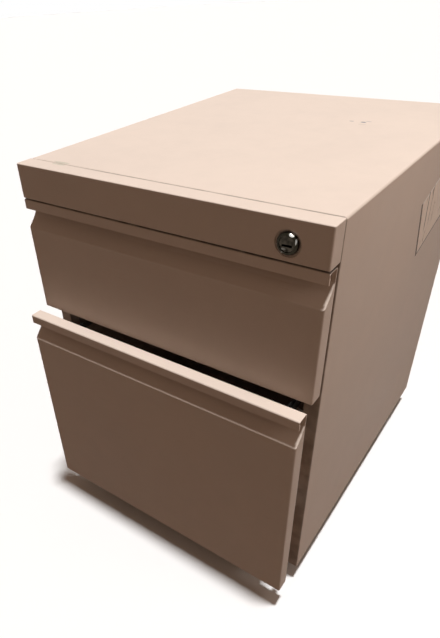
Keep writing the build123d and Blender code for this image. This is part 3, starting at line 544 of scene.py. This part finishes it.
def cream_paint(
    name,
    marks=(),
    rubs=0.35,
    dust=0.10,
    turn=(0, 0, 0),
    taped=False,
    seamed=False,
    dished=False,
    welded=False,
    shut=None,
):
    """Satin cream powder coat. marks are (centre, reach, break up, colour, strength)."""
    material, tree, shader, place = finish_named(name)
    coat = use(tree, POWDER_COAT, Place=place)
    tone = spread(tree, coat["Tone"], 0.35, 0.65)
    colour = mix_colour(tree, tone, toned(CREAM, 0.955), CREAM)
    rubbed = use(tree, RUB_MARKS, Place=place, Amount=rubs, Turn=turn)["Mask"]
    colour = mix_colour(tree, rubbed, colour, CREAM_WORN)
    settled = use(tree, SETTLED_DUST, Place=place, Amount=dust)["Mask"]
    colour = mix_colour(tree, settled, colour, CREAM_DUSTY)
    for centre, reach, ragged, shade, strength in marks:
        spot = use(tree, SPOT_MARK, Place=place, Centre=centre, Reach=reach, Break_up=ragged)
        colour = laid_on(tree, colour, shade, spot["Mask"], strength)
    if seamed:
        # Painted shade, with some dirt, along the seam between the header and the case top.
        shade_and_dirt = use(tree, SEAM_SHADE_AND_DIRT, Place=place, Seam=SEAM_Y, Width=0.0020)["Mask"]
        colour = laid_on(tree, colour, GRIME_AND_SHADE, shade_and_dirt, strength=0.48)
    if shut:
        # Painted shade along the shut line between the header and the box drawer's front.
        where = {"Across": (0, 0, 1), "Seam": shut, "Width": 0.0018, "Left_over": 0.8}
        shade_and_dirt = use(tree, SEAM_SHADE_AND_DIRT, Place=place, **where)["Mask"]
        colour = laid_on(tree, colour, GRIME_AND_SHADE, shade_and_dirt, strength=0.80)
    if dished:
        # Painted shade in the dish round the lock, standing in for shade in the recess.
        shade_and_dirt = use(tree, LOCK_SHADE_DISC, Place=place, Centre=LOCK_CENTRE, Radius=DISH_RADIUS)["Mask"]
        colour = laid_on(tree, colour, GRIME_AND_SHADE, shade_and_dirt, strength=0.72)
    if welded:
        burnt = use(tree, WELD_MARKS, Place=place, Radius=BURN_RADIUS)["Mask"]
        colour = laid_on(tree, colour, GRIME_AND_SHADE, burnt, strength=0.16)
    if taped:
        tape = use(tree, PAPER_TAPE, Place=place)
        colour = mix_colour(tree, tape["Mask"], colour, tape["Colour"])
    tree.links.new(colour, shader.inputs["Base Color"])
    rough = spread(tree, coat["Tone"], 0.3, 0.7, 0.56, 0.64)
    rough = minus(tree, rough, times(tree, rubbed, 0.10))
    rough = plus(tree, rough, times(tree, settled, 0.30), clamp=True)
    tree.links.new(rough, shader.inputs["Roughness"])
    shader.inputs["Specular IOR Level"].default_value = PAINT_SPECULAR
    height = coat["Height"]
    if welded:
        dimples = use(tree, WELD_MARKS, Place=place)["Mask"]
        height = minus(tree, height, times(tree, dimples, 6.0))
    if taped:
        height = plus(tree, height, times(tree, tape["Height"], 5.0))
        rough = plus(tree, rough, times(tree, tape["Mask"], 0.05))
        tree.links.new(rough, shader.inputs["Roughness"])
    raise_surface(tree, shader, height, strength=0.35, distance=0.00012)
    return material


def zinc_plate(name, light=ZINC_LIGHT, dark=ZINC_DARK, grain=0.004, rough=0.36, turn=(0, 0, 0)):
    """Zinc-plated steel, cloudy, with faint die lines."""
    material, tree, shader, place = finish_named(name)
    bloom = use(tree, ZINC_BLOOM, Place=place, Grain_size=grain)
    tone = spread(tree, bloom["Tone"], 0.3, 0.7)
    colour = mix_colour(tree, tone, dark, light)
    settled = use(tree, SETTLED_DUST, Place=place, Amount=0.35)["Mask"]
    colour = mix_colour(tree, settled, colour, DUST)
    tree.links.new(colour, shader.inputs["Base Color"])
    tree.links.new(spread(tree, settled, 0.0, 0.6, 1.0, 0.3), shader.inputs["Metallic"])
    rough_now = spread(tree, bloom["Tone"], 0.3, 0.7, rough + 0.10, rough)
    tree.links.new(rough_now, shader.inputs["Roughness"])
    lines = use(tree, DRAWN_LINES, Place=place, Turn=turn)["Height"]
    height = plus(tree, lines, times(tree, bloom["Height"], 0.5))
    raise_surface(tree, shader, height, strength=0.25, distance=0.00006)
    return material


def rolled_plate(name):
    """Plain hot-rolled plate with its dark scale and a little rust."""
    material, tree, shader, place = finish_named(name)
    cloud = noise(tree, place, 0.030, 5.0)
    rusty = spread(tree, noise(tree, place, 0.012, 6.0), 0.58, 0.70)
    colour = mix_colour(tree, spread(tree, cloud, 0.3, 0.7), MILL_SCALE, toned(MILL_SCALE, 1.7))
    colour = laid_on(tree, colour, RUST, rusty, strength=0.6)
    tree.links.new(colour, shader.inputs["Base Color"])
    tree.links.new(spread(tree, rusty, 0.0, 1.0, 0.7, 0.05), shader.inputs["Metallic"])
    tree.links.new(spread(tree, cloud, 0.3, 0.7, 0.45, 0.65), shader.inputs["Roughness"])
    raise_surface(tree, shader, cloud, strength=0.3, distance=0.0003)
    return material


def chrome_plate(name, bright, dull, rough, patches=()):
    """Tarnished plating over a zinc casting, faintly pitted. patches are painted highlights and
    reflections, in bright chrome.
    """
    material, tree, shader, place = finish_named(name)
    cloud = noise(tree, place, 0.004, 4.0)
    pits = spread(tree, noise(tree, place, 0.0009, 3.0), 0.66, 0.74)
    colour = mix_colour(tree, spread(tree, cloud, 0.35, 0.7), bright, dull)
    colour = laid_on(tree, colour, GRIME_AND_SHADE, pits, strength=0.6)
    # Painted dark reflection: outside the bezel radius, the bezel's shoulder gets a plain dull
    # tone.
    face = use(tree, LOCK_SHADE_DISC, Place=place, Centre=LOCK_CENTRE, Radius=BEZEL_RADIUS)["Mask"]
    colour = mix_colour(tree, face, toned(dull, 1.5), colour)
    # Painted highlights and reflections, laid on in bright chrome colour.
    for centre, reach, strength in patches:
        spot = use(tree, SPOT_MARK, Place=place, Centre=centre, Reach=reach, Break_up=0.25)
        colour = laid_on(tree, colour, CHROME_HIGHLIGHT, spot["Mask"], strength)
    tree.links.new(colour, shader.inputs["Base Color"])
    shader.inputs["Metallic"].default_value = 1.0
    tree.links.new(spread(tree, cloud, 0.3, 0.7, rough, rough + 0.06), shader.inputs["Roughness"])
    raise_surface(tree, shader, pits, strength=0.3, distance=0.00005)
    return material


def moulded(name, colour, rough, grain=0.0006, dust=0.4):
    """Moulded plastic or rubber, dusty on top."""
    material, tree, shader, place = finish_named(name)
    skin = use(tree, MOULDED_SKIN, Place=place, Grain_size=grain)
    tone = spread(tree, skin["Tone"], 0.3, 0.7)
    shade = mix_colour(tree, tone, colour, toned(colour, 0.85))
    settled = use(tree, SETTLED_DUST, Place=place, Amount=dust)["Mask"]
    shade = mix_colour(tree, settled, shade, DUST)
    tree.links.new(shade, shader.inputs["Base Color"])
    rough_now = spread(tree, skin["Tone"], 0.3, 0.7, rough, rough + 0.1)
    tree.links.new(rough_now, shader.inputs["Roughness"])
    raise_surface(tree, shader, skin["Height"], strength=0.25, distance=0.00008)
    return material


# Marks: centre, reach, break up, colour and strength
WRAPPER_MARKS = [
    ((0.0735, 0.1140, TOP), (0.0062, 0.0028, 0.003), 0.60, SCUFF_BLUE, 0.55),
    ((0.0895, 0.1140, TOP), (0.0058, 0.0032, 0.003), 0.50, SCUFF_BLUE, 0.95),
    ((0.0945, 0.1200, TOP), (0.0065, 0.0018, 0.003), 0.60, SCUFF_BLUE, 0.55),
    ((0.0920, 0.1020, TOP), (0.0090, 0.0070, 0.003), 0.60, CREAM_DUSTY, 0.45),
    ((-0.1500, -0.2105, TOP), (0.0190, 0.0048, 0.003), 0.55, SMUDGE_GREY, 0.60),
]

HEADER_MARKS = [
    ((-0.1480, -0.2170, TOP), (0.0170, 0.0034, 0.003), 0.55, SMUDGE_GREY, 0.60),
]

# Painted highlights and reflections on the lock's bezel and plug: centre, reach and strength
BEZEL_PAINTED_HIGHLIGHTS = [
    ((0.1622, -0.2385, 0.5195), (0.0033, 0.0060, 0.0024), 0.88),
    ((0.1668, -0.2390, 0.5145), (0.0010, 0.0060, 0.0044), 0.35),
    ((0.1525, -0.2385, 0.5015), (0.0030, 0.0060, 0.0014), 0.16),
]

PLUG_PAINTED_HIGHLIGHTS = [
    ((0.1545, -0.2390, 0.5050), (0.0034, 0.0060, 0.0012), 0.10),
]

finishes = {
    "wrapper": cream_paint(
        "cream paint, case", WRAPPER_MARKS, rubs=0.25, taped=True, seamed=True, welded=True
    ),
    "header": cream_paint(
        "cream paint, header", HEADER_MARKS, rubs=0.30, seamed=True, dished=True, shut=SHUT_LINE
    ),
    "front": cream_paint("cream paint, drawer fronts", rubs=0.40, dust=0.12, shut=SHUT_LINE),
    "inside": cream_paint("cream paint, inside", rubs=0.55, dust=0.45, turn=(0, 0, QUARTER_TURN)),
    "galvanised_steel": zinc_plate("galvanised steel", grain=0.007, rough=0.42),
    "bright_steel": zinc_plate("bright zinc", grain=0.003, rough=0.30, turn=(0, 0, QUARTER_TURN)),
    "raw_steel": rolled_plate("rolled plate"),
    "chrome": chrome_plate("chrome, bezel", CHROME_BRIGHT, CHROME_DULL, 0.26, BEZEL_PAINTED_HIGHLIGHTS),
    "plug": chrome_plate("chrome, plug face", PLUG_BRIGHT, PLUG_DULL, 0.30, PLUG_PAINTED_HIGHLIGHTS),
    "black_rubber": moulded("black rubber", RUBBER_BLACK, 0.75),
    "white_nylon": moulded("white nylon", NYLON_WHITE, 0.45, 0.0010),
    "black_plastic": moulded("black nylon", NYLON_BLACK, 0.42),
}

PAINTED = {
    "case_wrapper": "wrapper",
    "header_fascia": "header",
    "box_front": "front",
    "file_front": "front",
    "lock_plug": "plug",
}


def dress_nodes():
    """Gives every carried-over node the finish of its material slot."""
    slots = {part["node"]: part["material_slot"] for part in frame["record"]["subparts"]}
    for name, piece in frame["nodes"].items():
        slot = slots[name]
        finish = PAINTED.get(name, "inside" if slot == "cream_paint" else slot)
        piece.data.materials.clear()
        piece.data.materials.append(finishes[finish])


# Fasteners and caster wheels, made by geometry nodes


def make_tree(name, takes):
    """Starts a geometry node tree with named inputs and one geometry output."""
    tree = bpy.data.node_groups.new(name, "GeometryNodeTree")
    tree.interface.new_socket("Geometry", in_out="OUTPUT", socket_type="NodeSocketGeometry")
    add_inputs(tree, takes)
    return tree, tree.nodes.new("NodeGroupInput").outputs


def moved(tree, geometry, **how):
    """Geometry moved by its Translation and Rotation."""
    return put(tree, "GeometryNodeTransform", {"Geometry": geometry, **how}).outputs[0]


def rotation_of(tree, euler):
    return put(tree, "FunctionNodeEulerToRotation", {"Euler": euler}).outputs[0]


def copies(tree, points, shape, **how):
    """One copy of a shape on each point."""
    inputs = {"Points": points, "Instance": shape, **how}
    return put(tree, "GeometryNodeInstanceOnPoints", inputs).outputs[0]


def barrel(tree, radius, low, high, sides, rings=1):
    """A capped cylinder from one height to another."""
    height = minus(tree, high, low)
    round_bar = put(
        tree,
        "GeometryNodeMeshCylinder",
        {"Vertices": sides, "Fill Segments": rings, "Radius": radius, "Depth": height},
        fill_type="TRIANGLE_FAN",
    ).outputs["Mesh"]
    middle = times(tree, plus(tree, low, high), 0.5)
    return moved(tree, round_bar, Translation=vector_from(tree, Z=middle))


def domed(tree, geometry, radius, drop):
    """Lowers everything above the seat towards its rim, by drop at the radius."""
    place = tree.nodes.new("GeometryNodeInputPosition").outputs[0]
    flat = vector_math(tree, "MULTIPLY", place, (1, 1, 0))[0]
    away = length_of(tree, flat)
    share = math_of(tree, "POWER", ratio(tree, away, radius), 3.0)
    sink = times(tree, times(tree, share, drop), -1.0)
    above = math_of(tree, "GREATER_THAN", axes_of(tree, place)["Z"], SEAT_CLEARANCE)
    inputs = {"Geometry": geometry, "Selection": above, "Offset": vector_from(tree, Z=sink)}
    return put(tree, "GeometryNodeSetPosition", inputs).outputs[0]


def joined(tree, *pieces):
    made = tree.nodes.new("GeometryNodeJoinGeometry")
    for piece in pieces:
        tree.links.new(piece, made.inputs[0])
    return made.outputs[0]


def grid_of(tree, columns, rows, column_pitch, row_pitch):
    """Points in columns along X and rows along Y, about the origin."""
    wide = times(tree, minus(tree, columns, 1.0), column_pitch)
    deep = times(tree, minus(tree, rows, 1.0), row_pitch)
    inputs = {"Size X": wide, "Size Y": deep, "Vertices X": columns, "Vertices Y": rows}
    return put(tree, "GeometryNodeMeshGrid", inputs).outputs["Mesh"]


def set_out(tree, points, shape, seed):
    """One copy of the shape on each point, each turned its own way about Z."""
    turns = put(tree, "FunctionNodeRandomValue", {"Seed": seed}, data_type="FLOAT")
    turns.inputs[2].default_value = 0.0
    turns.inputs[3].default_value = math.tau
    turned = rotation_of(tree, vector_from(tree, Z=turns.outputs[1]))
    return copies(tree, points, shape, Rotation=turned)


def finished(tree, takes, geometry):
    """Puts the set in its place, as one real mesh with its finish."""
    turn = rotation_of(tree, takes["Turn"])
    placed = moved(tree, geometry, Translation=takes["Place"], Rotation=turn)
    real = put(tree, "GeometryNodeRealizeInstances", {"Geometry": placed}).outputs[0]
    dressed = put(tree, "GeometryNodeSetMaterial", {"Geometry": real, "Material": takes["Finish"]})
    out = tree.nodes.new("NodeGroupOutput")
    tree.links.new(dressed.outputs[0], out.inputs[0])


def own_grid(tree, takes):
    """The grid that a set's own inputs ask for."""
    names = ("Columns", "Rows", "Column pitch", "Row pitch")
    return grid_of(tree, *(takes[name] for name in names))


def shank_of(tree, takes):
    down = times(tree, takes["Shank length"], -1.0)
    return barrel(tree, takes["Shank radius"], down, 0.0, 12)


GRID_INPUTS = [
    ("Columns", "Int", 2),
    ("Rows", "Int", 2),
    ("Column pitch", "Float", 0.1),
    ("Row pitch", "Float", 0.1),
    ("Place", "Vector", None),
    ("Turn", "Vector", None),
    ("Seed", "Int", 1),
    ("Finish", "Material", None),
]


def make_pan_heads():
    """Pan-head screws or rivets in a grid; Recess is the depth of the cross, 0 for a rivet."""
    sizes = [
        ("Head radius", "Float", 0.004),
        ("Head height", "Float", 0.0024),
        ("Shank radius", "Float", 0.002),
        ("Shank length", "Float", 0.0035),
        ("Recess", "Float", 0.0014),
    ]
    tree, takes = make_tree("pan heads", sizes + GRID_INPUTS)
    radius, height = takes["Head radius"], takes["Head height"]
    head = barrel(tree, radius, 0.0, height, 24, 4)
    head = domed(tree, head, radius, times(tree, height, 0.62))
    arm = times(tree, radius, 1.15)
    web = times(tree, radius, 0.26)
    deep = times(tree, takes["Recess"], 2.0)
    lift = vector_from(tree, Z=height)
    cut = put(tree, "GeometryNodeMeshBoolean", {0: head}, operation="DIFFERENCE", solver="EXACT")
    for wide, long in ((arm, web), (web, arm)):
        size = vector_from(tree, X=wide, Y=long, Z=deep)
        cube = put(tree, "GeometryNodeMeshCube", {"Size": size}).outputs["Mesh"]
        tree.links.new(moved(tree, cube, Translation=lift), cut.inputs[1])
    crossed = math_of(tree, "GREATER_THAN", takes["Recess"], 0.0)
    chosen = put(tree, "GeometryNodeSwitch", {"Switch": crossed}, input_type="GEOMETRY")
    tree.links.new(head, chosen.inputs["False"])
    tree.links.new(cut.outputs["Mesh"], chosen.inputs["True"])
    screw = joined(tree, chosen.outputs[0], shank_of(tree, takes))
    finished(tree, takes, set_out(tree, own_grid(tree, takes), screw, takes["Seed"]))
    return tree


def make_flange_screws():
    """Hexagon flange screws: a small grid of screws at each point of a wider grid."""
    sizes = [
        ("Hex radius", "Float", 0.0036),
        ("Head height", "Float", 0.002),
        ("Flange radius", "Float", 0.0044),
        ("Flange height", "Float", 0.0006),
        ("Shank radius", "Float", 0.002),
        ("Shank length", "Float", 0.0052),
        ("Screw spacing", "Float", 0.032),
    ]
    tree, takes = make_tree("hexagon flange screws", sizes + GRID_INPUTS)
    radius, height = takes["Flange radius"], takes["Flange height"]
    flange = barrel(tree, radius, 0.0, height, 20, 2)
    flange = domed(tree, flange, radius, times(tree, height, 0.6))
    radius, height = takes["Hex radius"], takes["Head height"]
    hexagon = barrel(tree, radius, 0.0, height, 6, 3)
    hexagon = domed(tree, hexagon, radius, times(tree, height, 0.18))
    screw = joined(tree, flange, hexagon, shank_of(tree, takes))
    near = grid_of(tree, 2, 2, takes["Screw spacing"], takes["Screw spacing"])
    screws = set_out(tree, near, screw, takes["Seed"])
    finished(tree, takes, copies(tree, own_grid(tree, takes), screws))
    return tree


def run_tree(piece, tree, slot, inputs, crease=35):
    """Runs a geometry node tree on a piece and leaves it a plain mesh, smooth but for its edges."""
    bpy.context.scene.collection.objects.link(piece)
    run = piece.modifiers.new("tree", "NODES")
    run.node_group = tree
    values = dict(inputs, Finish=finishes[slot])
    for item in tree.interface.items_tree:
        if item.in_out == "INPUT" and item.name in values:
            run[item.identifier] = values[item.name]
    ready = piece.evaluated_get(bpy.context.evaluated_depsgraph_get())
    mesh = bpy.data.meshes.new_from_object(ready)
    piece.modifiers.remove(run)
    piece.data = mesh
    mesh.name = piece.name
    mesh.shade_smooth()
    mesh.set_sharp_from_angle(angle=math.radians(crease))


def set_fasteners(name, tree, body, slot, replaced=(), **inputs):
    """A set of fasteners on a body; underscores in the inputs stand for spaces."""
    piece = bpy.data.objects.new(name, bpy.data.meshes.new(name))
    run_tree(piece, tree, slot, spaced(inputs))
    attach(piece, body)
    if replaced:
        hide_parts(*replaced)


def make_ribbed_wheel():
    """Adds ribs between hub and rim to a wheel turned about X at the origin, then places it.

    The wheel's mesh comes in by the first input, the only one that Blender gives it to.
    """
    takes_in = [
        ("Wheel", "Geometry", None),
        ("Ribs", "Int", 8),
        ("Inner radius", "Float", 0.0076),
        ("Outer radius", "Float", 0.0142),
        ("Rib width", "Float", 0.0012),
        ("Rib depth", "Float", 0.0124),
        ("Place", "Vector", None),
        ("Turn", "Vector", None),
        ("Finish", "Material", None),
    ]
    tree, takes = make_tree("ribbed wheel", takes_in)
    inner, outer = takes["Inner radius"], takes["Outer radius"]
    span = minus(tree, outer, inner)
    middle = times(tree, plus(tree, outer, inner), 0.5)
    size = vector_from(tree, X=span, Y=takes["Rib width"], Z=takes["Rib depth"])
    rib = put(tree, "GeometryNodeMeshCube", {"Size": size}).outputs["Mesh"]
    circle = {"Vertices": takes["Ribs"], "Radius": middle}
    ring = put(tree, "GeometryNodeMeshCircle", circle).outputs["Mesh"]
    spot = {"Vector": tree.nodes.new("GeometryNodeInputPosition").outputs[0]}
    outward = put(tree, "FunctionNodeAlignRotationToVector", spot, axis="X", pivot_axis="Z")
    ribs = copies(tree, ring, rib, Rotation=outward.outputs[0])
    ribs = moved(tree, ribs, Rotation=rotation_of(tree, (0, QUARTER_TURN, 0)))
    finished(tree, takes, joined(tree, takes["Wheel"], ribs))
    return tree


def turned_about_x(name, profile, segments):
    """A closed ring of quads: profile is (x, radius) points, run once round."""
    shape = bmesh.new()
    rings = []
    for step in range(segments):
        angle = math.tau * step / segments
        up, over = math.cos(angle), math.sin(angle)
        rings.append([shape.verts.new((x, r * up, r * over)) for x, r in profile])
    for step in range(segments):
        here, after = rings[step], rings[(step + 1) % segments]
        for point in range(len(profile)):
            following = (point + 1) % len(profile)
            shape.faces.new((here[point], here[following], after[following], after[point]))
    bmesh.ops.recalc_face_normals(shape, faces=shape.faces)
    mesh = bpy.data.meshes.new(name)
    shape.to_mesh(mesh)
    shape.free()
    return mesh


# Half of the wheel's section, from its axle out and round to the groove, in millimetres
WHEEL_SIDE = [
    (7.25, 3.1),
    (7.25, 7.6),
    (6.9, 8.0),
    (3.4, 8.2),
    (3.0, 8.6),
    (3.0, 13.4),
    (3.4, 13.8),
    (6.7, 14.1),
    (7.0, 14.4),
    (7.0, 17.3),
    (6.7, 17.9),
    (5.6, 18.9),
    (5.2, 19.0),
    (2.0, 19.0),
    (1.6, 18.6),
]


def make_wheels():
    """Moulded caster wheels with a sunk web, ribs and a groove round the tread."""
    tree = make_ribbed_wheel()
    right = [(x / 1000, r / 1000) for x, r in WHEEL_SIDE]
    profile = right + [(-x, r) for x, r in reversed(right)]
    for side, axle_x in AXLES_X:
        for end, axle_y in AXLES_Y:
            name = f"{end}_{side}"
            title = f"{name}_ribbed_wheel"
            wheel = bpy.data.objects.new(title, turned_about_x(title, profile, 48))
            inputs = {"Place": (axle_x, axle_y, AXLE_HEIGHT), "Turn": (RIBS_TURN, 0, 0)}
            run_tree(wheel, tree, "black_plastic", inputs, 40)
            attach(wheel, f"{name}_wheel")
            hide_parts(f"{name}_caster_wheel")


def make_fasteners():
    """Screws and rivets of the drawers and the casters."""
    pan_heads = make_pan_heads()
    flange_screws = make_flange_screws()
    for name, face_y, tray_z, height, slide_z in DRAWERS:
        set_fasteners(
            f"{name}_drawer_screws",
            pan_heads,
            f"{name}_drawer",
            "bright_steel",
            replaced=[f"{name}_front_screws"],
            Column_pitch=SCREW_COLUMNS_APART,
            Row_pitch=height - 2 * SCREW_FROM_EDGE,
            Place=(0, face_y + FACE_TO_SCREWS, tray_z + height / 2),
            Turn=(-QUARTER_TURN, 0, 0),
            Seed=3,
        )
        for side, label in ((-1, "left"), (1, "right")):
            set_fasteners(
                f"{name}_tray_rivets_{label}",
                pan_heads,
                f"{name}_drawer",
                "bright_steel",
                Head_radius=0.0032,
                Head_height=0.0009,
                Shank_radius=0.0015,
                Shank_length=0.0004,
                Recess=0.0,
                Columns=2,
                Rows=4,
                Column_pitch=0.014,
                Row_pitch=0.118,
                Place=(side * TRAY_SIDE, face_y + FRONT_DEPTH + HALF_TRAY_LENGTH, slide_z),
                Turn=(0, -side * QUARTER_TURN, 0),
                Seed=5,
            )
    set_fasteners(
        "caster_plate_screws",
        flange_screws,
        "case",
        "bright_steel",
        replaced=["caster_screws"],
        Column_pitch=CASTER_COLUMNS_APART,
        Row_pitch=CASTER_ROWS_APART,
        Place=(0, CASTERS_MIDDLE_Y, CASTER_PLATE_FOOT),
        Turn=(math.pi, 0, 0),
        Seed=7,
    )


# Stage


CAMERA_PLACE = (0.35332, -0.65846, 0.71236)
CAMERA_RIGHT = (0.80414, 0.59242, -0.04895)
CAMERA_DOWN = (0.32092, -0.50197, -0.80314)
CAMERA_AHEAD = (-0.50037, 0.63013, -0.59377)
LAMP_AIM = (-0.085, -0.031, -0.996)
LAMP_COLOUR = (1.0, 0.985, 0.965)
SOFTBOX_PLACE = (0.66, -0.06, 0.80)
SOFTBOX_AIM = (-1, 0.1, -0.4)
SOFTBOX_COLOUR = (1.0, 0.83, 0.72)
FLOOR_RADIUS = 14
FLOOR_SEEN = (0.90, 0.915, 0.935, 1)
FLOOR_BOUNCE = (0.110, 0.076, 0.055, 1)
SURROUND_SEEN = (1, 1, 1, 1)
SURROUND_GLOW = (0.134, 0.088, 0.062)


def add_object(name, data):
    """A new object in the scene, at the origin."""
    made = bpy.data.objects.new(name, data)
    bpy.context.scene.collection.objects.link(made)
    return made


def aim(piece, way):
    """Turns a lamp to shine along a direction."""
    piece.rotation_euler = Vector(way).to_track_quat("-Z", "Y").to_euler()


def make_camera():
    """The photograph's viewpoint, from a fit to the cabinet's edges."""
    lens = bpy.data.cameras.new("camera")
    lens.sensor_fit = "AUTO"
    lens.sensor_width = 36.0
    lens.lens = 30.667
    lens.shift_x = 0.07423
    lens.shift_y = 0.07852
    camera = add_object("camera", lens)
    right, down, ahead = Vector(CAMERA_RIGHT), Vector(CAMERA_DOWN), Vector(CAMERA_AHEAD)
    turn = Matrix((right, -down, -ahead)).transposed()
    camera.matrix_world = Matrix.Translation(CAMERA_PLACE) @ turn.to_4x4()
    bpy.context.scene.camera = camera


def seen_rays(tree):
    """One for rays that show the stage itself, nought for those that only light the part."""
    path = put(tree, "ShaderNodeLightPath").outputs
    seen = math_of(tree, "MAXIMUM", path["Is Camera Ray"], path["Is Glossy Ray"])
    return math_of(tree, "MAXIMUM", seen, path["Is Transmission Ray"])


def make_floor():
    """Pale floor, bright to the camera and in reflections, with a dimmer bounce."""
    mesh = bpy.data.meshes.new("floor")
    shape = bmesh.new()
    bmesh.ops.create_circle(shape, cap_ends=True, segments=96, radius=FLOOR_RADIUS)
    shape.to_mesh(mesh)
    shape.free()
    floor = add_object("floor", mesh)
    material = bpy.data.materials.new("pale floor")
    material.use_nodes = True
    tree = material.node_tree
    shader = tree.nodes["Principled BSDF"]
    colour = mix_colour(tree, seen_rays(tree), FLOOR_BOUNCE, FLOOR_SEEN)
    tree.links.new(colour, shader.inputs["Base Color"])
    shader.inputs["Roughness"].default_value = 0.9
    shader.inputs["Specular IOR Level"].default_value = 0.1
    mesh.materials.append(material)


def make_lamps():
    """A high lamp a little to the right, and a warm softbox by the side."""
    lamp = bpy.data.lights.new("high lamp", "SUN")
    lamp.energy = 3.15
    lamp.angle = math.radians(5)
    lamp.color = LAMP_COLOUR
    aim(add_object("high lamp", lamp), LAMP_AIM)
    box = bpy.data.lights.new("side softbox", "AREA")
    box.shape = "SQUARE"
    box.size = 0.25
    box.energy = 0.68
    box.color = SOFTBOX_COLOUR
    piece = add_object("side softbox", box)
    piece.location = SOFTBOX_PLACE
    aim(piece, SOFTBOX_AIM)
    piece.visible_camera = False
    piece.visible_glossy = False


def make_surround():
    """White to the camera and in reflections; a dim warm glow, stronger right and above."""
    world = bpy.data.worlds.new("white surround")
    bpy.context.scene.world = world
    world.use_nodes = True
    tree = world.node_tree
    axes = axes_of(tree, put(tree, "ShaderNodeTexCoord").outputs["Generated"])
    rightward = spread(tree, axes["X"], -0.2, 0.9, smooth=False)
    upward = spread(tree, axes["Z"], -0.1, 0.8, smooth=False)
    level = math_of(tree, "MULTIPLY_ADD", rightward, 0.36, 0.74)
    level = math_of(tree, "MULTIPLY_ADD", upward, 0.5, level)
    inputs = {0: SURROUND_GLOW, "Scale": level}
    dim = put(tree, "ShaderNodeVectorMath", inputs, operation="SCALE").outputs[0]
    glow = mix_colour(tree, seen_rays(tree), dim, SURROUND_SEEN)
    tree.links.new(glow, tree.nodes["Background"].inputs["Color"])


dress_nodes()
make_fasteners()
make_wheels()
make_camera()
make_floor()
make_lamps()
make_surround()
bpy.context.scene.view_settings.view_transform = "Standard"
